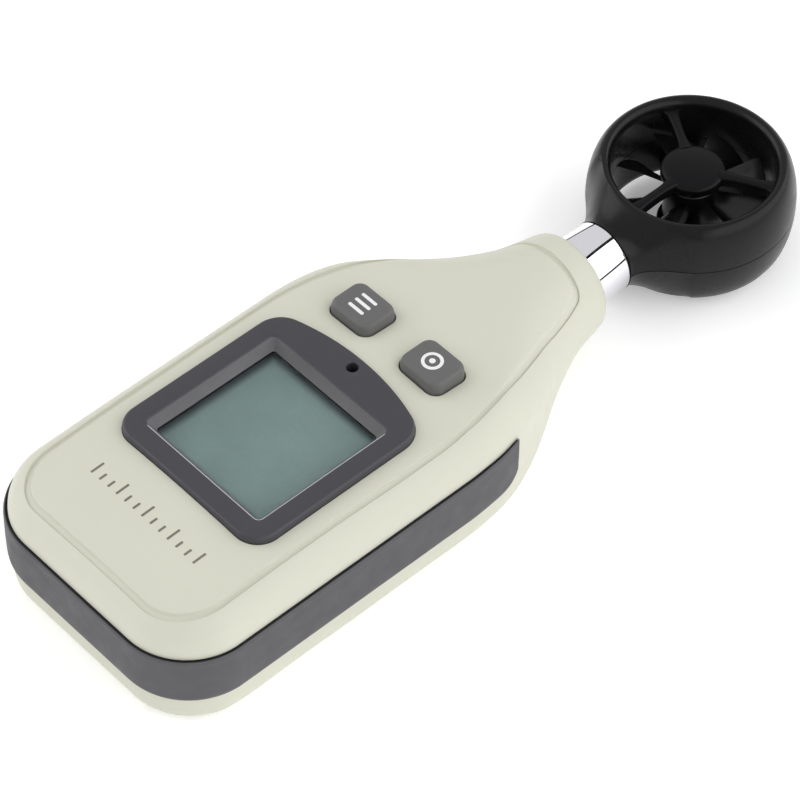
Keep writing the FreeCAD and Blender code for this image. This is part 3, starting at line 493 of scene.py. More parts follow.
def front_shell():
    B = Build()
    L = []
    # groove cross-section offsets (inward positive) and depth below the face
    for off, dz in ((1.35, 0.0), (0.62, 0.0), (0.48, 0.02), (0.42, 0.10), (0.36, 0.34), (0.28, 0.41), (0.0, 0.42), (-0.28, 0.41), (-0.36, 0.34), (-0.42, 0.10), (-0.48, 0.02), (-0.62, 0.0)):
        P = []
        for st in ST:
            x, y = gpath(st, off)
            P.append((x, y, upper(x, y) - dz))
        L.append(mirror_loop(P))
    panel_edge = L[0]
    # from the groove out to the wall
    hs = [0.18, 0.36, 0.52, 0.66, 0.77, 0.86, 0.925, 0.965, 0.988, 0.997, 1.0]
    for h in hs:
        P = []
        for st in ST:
            gx, gy = gpath(st, -0.62)
            ox, oy = outline(st)
            x, y = gx + (ox - gx) * h, gy + (oy - gy) * h
            P.append((x, y, max(SPLIT, upper(x, y))))
        L.append(mirror_loop(P))
    # wall, band recess, rim
    def wall(fz, fi):
        P = []
        for st in ST:
            dep, z0 = rec_depth(st)
            ox, oy = outline(st)
            ztop = max(SPLIT, upper(ox, oy))
            if st[0] == "m":
                P.append((ox, oy, ztop)); continue
            if dep > 0:
                zz = [min(ztop, BAND_Z1 + 0.16), BAND_Z1 + 0.06, BAND_Z1 + 0.03, max(SPLIT, z0 - 0.03), max(SPLIT, z0 - 0.05), SPLIT][fz]
                ins = [0.0, 0.10, dep, dep, 0.0, 0.0][fz] if z0 > SPLIT else [0.0, 0.10, dep, dep, dep, dep][fz]
                ox, oy = outline(st, ins)
            else:
                zz = SPLIT + (ztop - SPLIT) * [0.9, 0.75, 0.6, 0.4, 0.2, 0.0][fz]
            P.append((ox, oy, zz))
        return mirror_loop(P)
    for k in range(6):
        L.append(wall(k, k))
    # rim to the inner surface; at the mouth it turns in to the tube clearance and back out to the bushing bore
    def rim(k):
        P = []
        for st in ST:
            dep, z0 = rec_depth(st)
            ins0 = dep if (dep > 0 and z0 <= SPLIT) else 0.0
            if st[0] == "m":
                x, y = outline(st)
                z = max(SPLIT, upper(x, y))
                r = math.hypot(x, z - NZ)
                tgt = [5.32, 5.32, 6.2][k]
                yy = [YEND, 24.2, 24.2][k]
                P.append((x * tgt / r, yy, NZ + (z - NZ) * tgt / r))
            else:
                a, b = outline(st, ins0), outline(st, 1.7)
                t = [0.15, 0.5, 1.0][k]
                yb = min(b[1], 24.2)
                P.append((a[0] + (b[0] - a[0]) * t, a[1] + (yb - a[1]) * t, SPLIT))
        return mirror_loop(P)
    for k in range(3):
        L.append(rim(k))
    # inner surface
    G_IN = 1.2
    for h in (1.0, 0.97, 0.9, 0.78, 0.6, 0.4, 0.2, 0.0):
        P = []
        for st in ST:
            gx, gy = gpath(st, G_IN)
            if st[0] == "m":
                ox, oy = 6.2 * (1 - st[1]), 24.2
            else:
                ox, oy = outline(st, 1.7)
                oy = min(oy, 24.2)
            x, y = gx + (ox - gx) * h, gy + (oy - gy) * h
            P.append((x, y, max(SPLIT, upper(x, y, 1.7))))
        L.append(mirror_loop(P))
    inner_edge = L[-1]
    B.loops(L)
    # face panel and its inside, with openings
    win = rrect_pts(11.4, 11.4, 0.8, 0.0, -28.8, 6)
    port = [(1.25 * math.cos(t), -14.5 + 1.25 * math.sin(t)) for t in np.linspace(0, 2 * math.pi, 24, endpoint=False)]
    b0 = [rrect_pts(BTN["w"] / 2 + 0.15, BTN["h"] / 2 + 0.15, BTN["r"] + 0.15, sx * BTN["x"], BTN["y"], 8) for sx in (-1, 1)]
    b1 = [rrect_pts(BTN["w"] / 2 + 0.33, BTN["h"] / 2 + 0.33, BTN["r"] + 0.33, sx * BTN["x"], BTN["y"], 8) for sx in (-1, 1)]
    bmid = [rrect_pts(BTN["w"] / 2 + 0.20, BTN["h"] / 2 + 0.20, BTN["r"] + 0.20, sx * BTN["x"], BTN["y"], 8) for sx in (-1, 1)]
    seat = bezel_outline(-0.08)
    V, F = panel([(p[0], p[1]) for p in panel_edge], [seat] + b1, upper)
    B.add(V, F)
    V, F = panel(seat, [win, port], lambda x, y: 17.9, 3.0)
    B.add(V, F)
    V, F = panel([(p[0], p[1]) for p in inner_edge], [win, port] + b0, lambda x, y: upper(x, y, 1.7), 2.2)
    B.add(V, F)
    up = lambda lp, dz: [(x, y, upper(x, y) - dz) for x, y in lp]
    dn = lambda lp: [(x, y, upper(x, y, 1.7)) for x, y in lp]
    flat = lambda lp, h: [(x, y, h) for x, y in lp]
    B.loops([up(seat, 0.0), up(seat, 0.3), flat(seat, 17.9)])
    B.loops([flat(win, 17.9), dn(win)])
    B.loops([flat(port, 17.9), dn(port)])
    for k in range(2):
        B.loops([up(b1[k], 0.0), up(bmid[k], 0.05), up(b0[k], 0.18), up(b0[k], 0.8), dn(b0[k])])
    return add_mesh("front_shell_body", B.V, B.F, M["cream"], merge=0.004, angle=38, fill=True)

def rear_shell():
    B = Build()
    L = []
    def wall(k):
        P = []
        for st in ST:
            dep, z0 = rec_depth(st)
            ox, oy = outline(st)
            zb = min(SPLIT, lower(ox, oy))
            if st[0] == "m":
                P.append((ox, oy, zb)); continue
            if dep > 0 and z0 < SPLIT:
                zz = [SPLIT - 0.02, SPLIT - 0.3, z0 - 0.02, z0 - 0.05, z0 - 0.2][k]
                ins = [dep, dep, dep, 0.08, 0.0][k]
                ox, oy = outline(st, ins)
            else:
                zz = SPLIT - 0.02 + (zb - SPLIT + 0.02) * [0.0, 0.1, 0.4, 0.6, 0.9][k]
            P.append((ox, oy, min(SPLIT - 0.02, zz)))
        return mirror_loop(P)
    # inner surface first, then rim, then the outside down to the back
    for h in (0.0, 0.25, 0.5, 0.75, 0.9, 1.0):
        P = []
        for st in ST:
            gx, gy = gpath(st, 0.6)
            if st[0] == "m":
                ox, oy = 6.2 * (1 - st[1]), 24.2
            else:
                ox, oy = outline(st, 1.7)
                oy = min(oy, 24.2)
            x, y = gx + (ox - gx) * h, gy + (oy - gy) * h
            P.append((x, y, min(SPLIT - 0.02, lower(x, y, 1.7))))
        L.append(mirror_loop(P))
    inner_edge = L[0]
    for k in (2, 1, 0):
        P = []
        for st in ST:
            dep, z0 = rec_depth(st)
            ins0 = dep if (dep > 0 and z0 <= SPLIT) else 0.0
            if st[0] == "m":
                x, y = outline(st)
                z = min(SPLIT, lower(x, y))
                r = math.hypot(x, z - NZ)
                tgt = [5.32, 5.32, 6.2][k]
                P.append((x * tgt / r, [YEND, 24.2, 24.2][k], NZ + (z - NZ) * tgt / r))
            else:
                a, b = outline(st, ins0), outline(st, 1.7)
                t = [0.15, 0.5, 1.0][k]
                yb = min(b[1], 24.2)
                P.append((a[0] + (b[0] - a[0]) * t, a[1] + (yb - a[1]) * t, SPLIT - 0.02))
        L.append(mirror_loop(P))
    for k in range(5):
        L.append(wall(k))
    for h in (1.0, 0.997, 0.985, 0.96, 0.92, 0.86, 0.77, 0.66, 0.5, 0.3, 0.1, 0.0):
        P = []
        for st in ST:
            gx, gy = gpath(st, 0.6)
            ox, oy = outline(st)
            x, y = gx + (ox - gx) * h, gy + (oy - gy) * h
            P.append((x, y, min(SPLIT, lower(x, y))))
        L.append(mirror_loop(P))
    outer_edge = L[-1]
    B.loops(L)
    V, F = panel([(p[0], p[1]) for p in outer_edge], [], lower, 2.0)
    B.add(V, F)
    V, F = panel([(p[0], p[1]) for p in inner_edge], [], lambda x, y: lower(x, y, 1.7), 2.6)
    B.add(V, F)
    return add_mesh("rear_shell_body", B.V, B.F, M["cream"], merge=0.004, angle=38)

def side_band():
    # only the stations behind the tips
    idx = [i for i, st in enumerate(ST) if st[0] in "bc" or (st[0] == "s" and st[1] <= BAND_TIP + 0.03)]
    right = [ST[i] for i in idx]
    seq = [(st, -1) for st in reversed(right)] + [(st, 1) for st in right[1:]]
    prof = [(-0.86, 0.02), (-0.86, 0.90), (0.22, 0.90), (0.26, 0.965), (0.33, 0.993), (0.42, 1.0), (0.52, 0.985), (0.575, 0.955), (0.59, 0.92),
            (0.565, 0.885), (0.575, 0.86), (0.60, 0.80), (0.615, 0.65), (0.62, 0.5), (0.615, 0.35), (0.60, 0.18), (0.585, 0.09), (0.54, 0.04), (0.45, 0.01), (0.33, 0.0), (-0.5, 0.0)]
    P = []
    for st, sx in seq:
        dep, z0 = rec_depth(st)
        y = st[1] if st[0] == "s" else -60.0
        tip = max(0.0, min(1.0, (y - (BAND_TIP - 0.45)) / 0.45)) if st[0] == "s" else 0.0
        shrink = 1.0 - 0.5 * tip * tip
        z1 = BAND_Z1 - 0.25 * tip
        row = []
        for d, f in prof:
            dd = d * shrink if d > 0 else d
            x, yy = outline(st, -dd)
            row.append((sx * x, yy, z0 + (z1 - z0) * f))
        P.append(row)
    n = len(prof)
    V = [p for r in P for p in r]
    F = []
    for i in range(len(P) - 1):
        for k in range(n):
            F.append((i * n + k, (i + 1) * n + k, (i + 1) * n + (k + 1) % n, i * n + (k + 1) % n))
    F.append(tuple(range(n))); F.append(tuple(reversed(range((len(P) - 1) * n, len(P) * n))))
    return add_mesh("side_band_body", V, F, M["band"], merge=0.002, angle=40)

# ====================================================================== display frame
def arc3(p0, pm, p1, n):
    """Points on the circle through three points, p0 included, p1 left out."""
    ax, ay = p0; bx, by = pm; cx, cy = p1
    d = 2 * (ax * (by - cy) + bx * (cy - ay) + cx * (ay - by))
    ux = ((ax * ax + ay * ay) * (by - cy) + (bx * bx + by * by) * (cy - ay) + (cx * cx + cy * cy) * (ay - by)) / d
    uy = ((ax * ax + ay * ay) * (cx - bx) + (bx * bx + by * by) * (ax - cx) + (cx * cx + cy * cy) * (bx - ax)) / d
    a0, am, a1 = (math.atan2(q[1] - uy, q[0] - ux) for q in (p0, pm, p1))
    r = math.hypot(ax - ux, ay - uy)
    def unwrap(a, ref):
        while a - ref > math.pi: a -= 2 * math.pi
        while a - ref < -math.pi: a += 2 * math.pi
        return a
    am = unwrap(am, a0); a1 = unwrap(a1, am)
    return [(ux + r * math.cos(a0 + (a1 - a0) * k / n), uy + r * math.sin(a0 + (a1 - a0) * k / n)) for k in range(n)]

def bezel_outline(off=0.0):
    hwid, y0, y1, yc, r = BEZ["hw"] - off, BEZ["y0"] + off, BEZ["y1"], BEZ["yc"] - off, BEZ["r"] - off
    P = []
    P += [(-hwid + r + (2 * (hwid - r)) * k / 16, y0) for k in range(16)]
    k2 = r * (1 - math.sqrt(0.5))
    P += arc3((hwid - r, y0), (hwid - k2, y0 + k2), (hwid, y0 + r), 14)
    R, cx = 4.0 - off, BEZ["hw"] - 4.0
    pol = lambda d: (cx + R * math.cos(math.radians(d)), y1 + R * math.sin(math.radians(d)))
    mid, end = pol(37.15), pol(74.3)
    fl = lambda p: (-p[0], p[1])
    P += [(hwid, y0 + r + (y1 - y0 - r) * k / 16) for k in range(16)]
    P += arc3((hwid, y1), mid, end, 14)
    P += arc3(end, (0, yc), fl(end), 36)
    P += arc3(fl(end), fl(mid), (-hwid, y1), 14)
    P += [(-hwid, y1 + (y0 + r - y1) * k / 16) for k in range(16)]
    P += arc3((-hwid, y0 + r), (-hwid + k2, y0 + k2), (-hwid + r, y0), 14)
    return P

def display_frame():
    B = Build()
    top = 19.7
    z = lambda lp, h: [(x, y, h) for x, y in lp]
    rim = bezel_outline(0.42)
    B.loops([z(bezel_outline(0.0), 17.95), z(bezel_outline(0.0), 19.05), z(bezel_outline(0.02), 19.28), z(bezel_outline(0.09), 19.47),
             z(bezel_outline(0.20), 19.61), z(bezel_outline(0.31), 19.68), z(rim, top)])
    wy = -28.8
    win = lambda o, r: rrect_pts(10.75 - o, 10.75 - o, r, 0.0, wy, 8)
    w_edge = win(-0.14, 0.9)
    pr = lambda r: [(r * math.cos(t), -14.5 + r * math.sin(t)) for t in np.linspace(0, 2 * math.pi, 40, endpoint=False)]
    V, F = panel(rim, [w_edge, pr(0.98)], lambda x, y: top, 1.6)
    B.add(V, F)
    pocket, skirt = rrect_pts(10.4, 10.4, 0.3, 0, wy, 8), rrect_pts(11.25, 11.25, 0.5, 0, wy, 8)
    B.loops([z(w_edge, top), z(win(-0.07, 0.85), top - 0.02), z(win(0.0, 0.8), top - 0.09), z(win(0.05, 0.75), top - 0.17),
             z(win(0.95, 0.45), 18.16), z(win(1.0, 0.4), 18.1), z(win(1.0, 0.4), 18.08), z(pocket, 18.08), z(pocket, 16.4),
             z(skirt, 16.4), z(skirt, 17.95)])
    B.loops([z(pr(0.98), top), z(pr(0.88), top - 0.03), z(pr(0.80), top - 0.14), z(pr(0.80), 17.95)])
    V, F = panel(bezel_outline(0.0), [skirt, pr(0.80)], lambda x, y: 17.95, 3.0)
    B.add(V, F)
    ob = add_mesh("display_frame", B.V, B.F, M["bezel"], merge=0.002, angle=34)
    ob.data.materials.append(M["slope"])
    ob.data.materials.append(M["edge"])
    sag = {}
    for v in ob.data.vertices:
        x, y, zz = v.co / MM
        k = max(0.0, min(1.0, (zz - 18.0) / 1.0))
        sag[v.index] = k * (0.08 * (max(0.0, abs(x) - 3.0) / 10.45) ** 2 + 0.04 * (max(0.0, -34.0 - y) / 8.6) ** 2)
    for f in ob.data.polygons:
        c = f.center / MM
        qx, qy = abs(c.x), abs(c.y - wy)
        # painted light: the window's inner slopes take the lighter slope material
        if qx < 10.76 and qy < 10.76 and 18.12 < c.z < top - 0.17:
            f.material_index = 1
        # painted highlight: the window's top edge on the +X and -Y sides takes the light edge material
        elif 10.6 < max(qx, qy) < 10.89 and min(qx, qy) < 10.6 and top - 0.165 < c.z < top - 0.005 and ((c.x > 10.6 and c.y < wy + 9.1) or (c.y < wy - 10.6 and c.x > -8.4)):
            f.material_index = 2
    for v in ob.data.vertices:
        v.co.z -= sag[v.index] * MM
    return ob

def window_pane():
    z = lambda lp, h: [(x, y, h) for x, y in lp]
    o = lambda i: rrect_pts(10.35 - i, 10.35 - i, 0.3, 0.0, -28.8, 6)
    B = Build()
    B.loops([z(o(0.10), 17.12), z(o(0.0), 17.2), z(o(0.0), 17.95), z(o(0.10), 18.04)])
    n = len(o(0))
    B.F.append(tuple(reversed(range(n)))); B.F.append(tuple(range(3 * n, 4 * n)))
    return add_mesh("window_pane", B.V, B.F, M["lens"], merge=0.0, angle=25)

# ====================================================================== buttons
def button(name, sx):
    x0, y0 = sx * BTN["x"], BTN["y"]
    w, h, r = BTN["w"] / 2, BTN["h"] / 2, BTN["r"]
    def lp(o, z, crown=0.0):
        P = rrect_pts(w - o, h - o, max(0.25, r - 0.6 * o), x0, y0, 8)
        return [(x, y, z + crown * (1 - ((x - x0) / w) ** 2) * (1 - ((y - y0) / h) ** 2)) for x, y in P]
    cr = 0.16
    L = [lp(-0.62, 15.3), lp(-0.65, 15.45), lp(-0.65, 16.15), lp(-0.6, 16.28), lp(0.0, 16.3), lp(0.0, 18.9), lp(0.04, 19.5), lp(0.10, 19.82), lp(0.17, 20.02),
         lp(0.26, 20.17), lp(0.38, 20.27, cr * 0.25), lp(0.54, 20.32, cr * 0.5), lp(0.8, 20.33, cr * 0.8)]
    for k in range(1, 6):
        L.append([(x0 + (p[0] - x0) * (1 - k / 6.0), y0 + (p[1] - y0) * (1 - k / 6.0), 20.33 + cr * (1 - (((p[0] - x0) * (1 - k / 6.0)) / w) ** 2) * (1 - (((p[1] - y0) * (1 - k / 6.0)) / h) ** 2)) for p in L[12]])
    B = Build()
    B.loops(L)
    n = len(L[0])
    c = len(B.V); B.V.append((x0, y0, 20.33 + cr))
    off = (len(L) - 1) * n
    B.F += [(off + i, off + (i + 1) % n, c) for i in range(n)]
    # underside with the short stem that meets the switch
    st = [(x0 + 1.5 * math.cos(t), y0 + 1.5 * math.sin(t)) for t in np.linspace(-math.pi / 2, 3 * math.pi / 2, n, endpoint=False)]
    B2 = Build()
    B2.loops([L[0], [(x, y, 15.25) for x, y in st], [(x, y, 15.2) for x, y in st]])
    B2.F.append(tuple(reversed(range(2 * n, 3 * n))))
    B.add(B2.V, B2.F)
    return add_mesh(name, B.V, B.F, M["button"], merge=0.002, angle=50)

def top_z(x, y, x0):
    w, h = BTN["w"] / 2, BTN["h"] / 2
    return 20.33 + 0.16 * (1 - ((x - x0) / w) ** 2) * (1 - ((y - BTN["y"]) / h) ** 2)

def slab(name, poly, zf, t, mat, holes=()):
    """Thin printed mark that follows a surface."""
    V, F = panel(poly, list(holes), lambda x, y: zf(x, y) + t, 0.5)
    B = Build(); B.add(V, F)
    B.add([(x, y, zf(x, y) - 0.02) for x, y, _ in V], F)
    for lp in [poly] + list(holes):
        B.loops([[(x, y, zf(x, y) + t) for x, y in lp], [(x, y, zf(x, y) - 0.02) for x, y in lp]])
    return add_mesh(name, B.V, B.F, mat, merge=0.0005, angle=40, fill=True)

# ====================================================================== vane head
RY, RO, RI, RH, RC = 46.7, 14.18, 11.04, 6.8, 12.0
YJ = 30.3            # joint between collar and tube
TR = 5.19

def bez(p0, p1, p2, p3, t):
    u = 1 - t
    return tuple(u**3 * a + 3 * u * u * t * b + 3 * u * t * t * c + t**3 * d for a, b, c, d in zip(p0, p1, p2, p3))

def head_half(name, s):
    """Ring half with its collar flare, from the rolled rim to the seam; s = 1 front, -1 rear."""
    yj = RY - YJ      # 16.4 from ring centre to the collar end
    cols = []         # (rim angle from the neck direction, boundary point, end tangent)
    nb = 14
    for k in range(nb + 1):                       # collar arc
        be = math.radians(90.0 * k / nb)
        w = smooth(k / nb)
        dirv = np.array([0.0, 1.0, 0.0]) * (1 - w) + np.array([math.cos(be), 0.0, -math.sin(be)]) * w
        dirv /= np.linalg.norm(dirv)
        cols.append((15.0 * k / nb, (TR * math.sin(be), yj, TR * math.cos(be)), dirv, 1.9 * (1 - w) + 3.2 * w, True))
    tA = math.radians(41.0)
    pA = (RO * math.sin(tA), RO * math.cos(tA))
    tan = (math.cos(tA), -math.sin(tA))
    for k in range(1, 19):                        # flare edge in the seam plane
        t = k / 18.0
        x, y = bez((TR, yj), (TR + 0.05, yj - 2.0), (pA[0] - tan[0] * 3.4, pA[1] - tan[1] * 3.4), pA, t)
        cols.append((15.0 + (41.0 - 15.0) * t, (x, y, 0.0), np.array([0, 0, -1.0]), 3.2 + 0.55 * t, False))
    for k in range(1, 71):                        # plain ring
        a = 41.0 + (180.0 - 41.0) * k / 70.0
        cols.append((a, (RO * math.sin(math.radians(a)), RO * math.cos(math.radians(a)), 0.0), np.array([0, 0, -1.0]), 3.75, False))
    TT = [0, .06, .13, .21, .3, .4, .5, .6, .7, .79, .87, .93, .97, 1.0]
    C = []
    for al, B, T, k2, coll in cols:
        a = math.radians(al)
        rad = np.array([math.sin(a), math.cos(a), 0.0])
        P0 = rad * RC + np.array([0, 0, RH])
        B = np.array(B)
        P1 = P0 + rad * (1.2 + (0.5 * max(0, 1 - al / 41.0)))
        P2 = B - T * k2
        col = []
        # bore, rolled lip
        col.append(rad * RI + np.array([0, 0, 0.0]))
        col.append(rad * RI + np.array([0, 0, 2.6]))
        col.append(rad * RI + np.array([0, 0, 5.0]))
        for q in (0, 15, 30, 45, 60, 75):
            qq = math.radians(q)
            col.append(rad * (RC - (RC - RI) * math.cos(qq)) + np.array([0, 0, RH - 1.5 + 1.5 * math.sin(qq)]))
        for t in TT:
            col.append(np.array(bez(P0, P1, P2, B, t)))
        # edge step at the seam or at the collar end
        if coll:
            f = 1.0
            col.append(np.array([B[0] * 0.985, B[1] + 0.0, B[2] * 0.985]))
            col.append(np.array([B[0] * 0.82, B[1], B[2] * 0.82]))
            col.append(np.array([B[0] * 0.82, 13.1, B[2] * 0.82]))
        else:
            nrm = B[:2] / np.linalg.norm(B[:2])
            ins = np.array([nrm[0], nrm[1], 0.0])
            if B[1] > 12:      # beside the collar, move towards the axis
                ins = np.array([1.0, 0.0, 0.0])
            q1 = B - ins * 0.14
            q2 = B - ins * 0.16
            g = min(1.0, max(0.0, (al - 15.0) / 8.0))
            q3 = np.array([TR * 0.82, 13.1, 0.0]) * (1 - g) + (rad * (RI + 0.5)) * g
            col += [q1, q2 * np.array([1, 1, 0]), q3]
        C.append(col)
    # relax the flare between the rim and the seam so it runs in one sweep
    k0 = 9
    k1 = k0 + len(TT) - 1
    A = np.array(C)
    als = np.array([c[0] for c in cols])
    wgt = np.clip((46.0 - als) / 8.0, 0, 1)[:, None, None]
    for it in range(60):
        Lf = A[1:2] * np.array([-1, 1, 1])
        Ap = np.concatenate([Lf, A], 0)
        mid = A.copy()
        mid[:-1] = 0.25 * (Ap[:-2] + A[1:] + np.roll(A, 1, 1)[:-1] + np.roll(A, -1, 1)[:-1])
        new = A + wgt * 0.8 * (mid - A)
        A[:, k0 + 2:k1] = new[:, k0 + 2:k1]
    C = [[p for p in col] for col in A]
    # seam chamfer: lift the last outer rows slightly off the plane
    nrow = len(C[0])
    V, F = [], []
    # full loop: right side columns then mirrored left side
    ring = C + [[p * np.array([-1, 1, 1]) for p in col] for col in reversed(C[1:-1])]
    m = len(ring)
    for col in ring:
        for p in col:
            z = p[2]
            V.append((p[0], RY - p[1], NZ + s * max(0.0, z)))
    for i in range(m):
        j = (i + 1) % m
        for k in range(nrow):
            kk = (k + 1) % nrow
            F.append((i * nrow + k, j * nrow + k, j * nrow + kk, i * nrow + kk))
    ob = add_mesh(name, V, F, M["head"], merge=0.004, angle=45)
    # shallow seam step: vertices of the outer wall within 0.1 mm of the seam move in
    for v in ob.data.vertices:
        if abs(v.co.z / MM - NZ) < 0.06:
            v.co.z = (NZ + s * 0.06) * MM
    return ob

def spoke_mesh(ang, s):
    """Arm with soft top edges, broadening into the ring."""
    rs = [3.6, 4.6, 5.6, 6.8, 8.0, 9.0, 9.8, 10.4, 10.9, 11.3]
    wd = [1.15, 0.84, 0.72, 0.70, 0.72, 0.77, 0.84, 0.95, 1.2, 1.6]
    zt = [5.62, 5.56, 5.52, 5.5, 5.5, 5.5, 5.5, 5.5, 5.5, 5.5]
    zb = [4.1] * 10
    B = Build(); L = []
    sec = [(-1, 0.0), (-1, 0.55), (-0.93, 0.80), (-0.78, 0.95), (-0.5, 1.0), (0.0, 1.02), (0.5, 1.0), (0.78, 0.95), (0.93, 0.80), (1, 0.55), (1, 0.0), (0.6, -0.0), (-0.6, 0.0)]
    ca, sa = math.cos(math.radians(ang)), math.sin(math.radians(ang))
    for r, w, t, b in zip(rs, wd, zt, zb):
        row = []
        for u, v in sec:
            x, y, z = r, u * w, b + (t - b) * v
            row.append((x * ca - y * sa, RY + x * sa + y * ca, NZ + s * z))
        L.append(row)
    B.loops(L)
    n = len(sec)
    B.F.append(tuple(range(n))); B.F.append(tuple(reversed(range((len(L) - 1) * n, len(L) * n))))
    return B

def arms_and_hub(name, s):
    parts = []
    for k, a in enumerate((30.0, 150.0, 270.0)):
        B = spoke_mesh(a, s)
        parts.append(add_mesh("arm%d" % k, B.V, B.F, M["hub"], merge=0.001, angle=50))
    prof = [(0.0, 5.35), (1.32, 5.35), (1.32, 3.95), (4.05, 3.95), (4.25, 4.05), (4.36, 4.25), (4.36, 4.95), (4.31, 5.15), (4.18, 5.33), (3.95, 5.46), (3.4, 5.62), (2.6, 5.78), (1.8, 5.89), (0.9, 5.97), (0.0, 6.0)]
    prof = [(r, s * z) for r, z in prof]
    parts.append(lathe("hubcap", prof, (0, RY, NZ), M["hub"], n=72, angle=60))
    return join(name, parts)

def impeller():
    parts = []
    def blade(k):
        B = Build(); L = []
        rs = [3.4, 4.4, 5.6, 7.0, 8.4, 9.6, 10.2, 10.45]
        for r in rs:
            f = (r - 3.4) / 7.05
            pitch = math.radians(50 - 14 * f)
            ch = (4.6 + 4.0 * f) * (1.0 if r < 10.1 else (0.93 if r < 10.3 else 0.80))
            th = 0.42 - 0.16 * f
            half = min(ch / 2, 2.85 / math.sin(pitch))
            row = []
            m = 7
            for j in range(m):                    # upper face with a little camber
                u = -1 + 2 * j / (m - 1.0)
                row.append((u * half, th / 2 * (1 - 0.8 * abs(u) ** 3) + 0.35 * (1 - u * u)))
            for j in range(m):
                u = 1 - 2 * j / (m - 1.0)
                row.append((u * half, -th / 2 * (1 - 0.8 * abs(u) ** 3) + 0.35 * (1 - u * u)))
            pts = []
            for c, v in row:
                a = k * 2 * math.pi / 8 + math.radians(12)
                x, y, z = r, c * math.cos(pitch) - v * math.sin(pitch), c * math.sin(pitch) + v * math.cos(pitch)
                q = math.hypot(x, y)
                if q > 10.5:
                    x, y = x * 10.5 / q, y * 10.5 / q
                pts.append((x * math.cos(a) - y * math.sin(a), RY + x * math.sin(a) + y * math.cos(a), NZ + z))
            L.append(pts)
        B.loops(L)
        n = len(L[0])
        B.F.append(tuple(range(n))); B.F.append(tuple(reversed(range((len(L) - 1) * n, len(L) * n))))
        return add_mesh("blade%d" % k, B.V, B.F, M["imp"], merge=0.0005, angle=40)
    for k in range(8):
        parts.append(blade(k))
    prof = [(0.5, -3.3), (3.3, -3.3), (3.6, -3.15), (3.7, -2.9), (3.7, 2.9), (3.6, 3.15), (3.3, 3.3), (0.5, 3.3)]
    parts.append(lathe("rotor_hub", prof, (0, RY, NZ), M["imp"], n=64, angle=50))
    return join("impeller_rotor", parts)

# ====================================================================== make the pieces
fs = front_shell(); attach(fs, "case"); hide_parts("front_shell")
sb = side_band(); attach(sb, "case"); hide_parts("side_band")
bz = display_frame(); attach(bz, "case"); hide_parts("display_bezel")
wp = window_pane(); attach(wp, "case"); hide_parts("display_lens")
for nm, sx, body in (("mode_button", -1, "mode_key"), ("set_button", 1, "set_key")):
    b = button(nm + "_cap", sx)
    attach(b, body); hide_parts(nm)

# button marks: three bars on one, a ring on the other
for k in range(3):
    w = 1.35
    yb = BTN["y"] + (k - 1) * 1.15
    poly = rrect_pts(w, 0.24, 0.2, -BTN["x"], yb, 4)
    o = slab("mark_bar_%d" % k, poly, lambda x, y: top_z(x, y, -BTN["x"]), 0.02, M["ink_white"])
    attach(o, "mode_key")
c0 = (BTN["x"], BTN["y"])
ringp = lambda r: [(c0[0] + r * math.cos(t), c0[1] + r * math.sin(t)) for t in np.linspace(0, 2 * math.pi, 40, endpoint=False)]
o = slab("mark_ring", ringp(1.45), lambda x, y: top_z(x, y, BTN["x"]), 0.02, M["ink_white"], holes=[ringp(1.0)])
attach(o, "set_key")
o = slab("mark_dot", ringp(0.42), lambda x, y: top_z(x, y, BTN["x"]), 0.02, M["ink_white"])
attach(o, "set_key")

# printed graduation row under the display
for k in range(13):
    x = -9.6 + k * 1.6
    hgt = 1.05 if k % 3 == 0 else 0.6
    poly = rrect_pts(0.17, hgt, 0.12, x, -48.0 - 1.05 + hgt, 3)
    o = slab("grade_mark_%02d" % k, poly, upper, 0.015, M["ink"])
    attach(o, "case")

for s, tag, node in ((1, "front", "head_front_shell"), (-1, "rear", "head_rear_shell")):
    h = head_half("head_%s_ring" % tag, s)
    a = arms_and_hub("head_%s_arms" % tag, s)
    for q in (h, a):
        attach(q, "head")
    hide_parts(node)
screws = []
for a in (30.0, 150.0):
    cx, cy = 12.2 * math.cos(math.radians(a)), RY + 12.2 * math.sin(math.radians(a))
    screws.append(lathe("head_screw_%d" % a, [(0.0, 2.42), (0.2, 2.36), (0.26, 2.12), (0.5, 2.08), (0.6, 2.18), (0.6, 2.68), (0.36, 2.7), (0.36, 11.2),
                                              (0.2, 11.6), (0.0, 11.6)], (cx, cy, 0.0), M["steel"], n=40, angle=30))
    prof = [(0.0, 0.4), (0.7, 0.4), (0.7, 2.72), (0.0, 2.72)]
    cut = lathe("pocket_tool", prof, (cx, cy, 0.0), M["head"], n=48, angle=30)
    ring = bpy.data.objects["head_rear_ring"]
    md = ring.modifiers.new("pocket", "BOOLEAN")
    md.operation = "DIFFERENCE"
    md.solver = "EXACT"
    md.object = cut
    with bpy.context.temp_override(object=ring, active_object=ring, selected_objects=[ring]):
        bpy.ops.object.modifier_apply(modifier="pocket")
    bpy.data.objects.remove(cut)
sc = join("head_screw_pair", screws)
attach(sc, "head"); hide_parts("head_screws")
im = impeller(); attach(im, "rotor"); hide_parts("impeller")

tube = lathe("neck_tube_chrome", [(4.2, 14.2), (5.05, 14.2), (5.19, 14.35), (5.19, 15.2), (4.6, 15.2), (4.6, 16.0), (5.19, 16.0), (5.19, 20.0), (5.19, 25.0),
                                  (5.19, 30.0), (5.13, 30.14), (4.9, 30.22), (4.2, 30.25), (4.2, 33.6), (3.4, 33.6), (3.4, 14.2), (4.2, 14.2)],
             (0, 0, NZ), M["chrome"], n=160, axis="y", angle=30)
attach(tube, "head"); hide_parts("neck_tube")

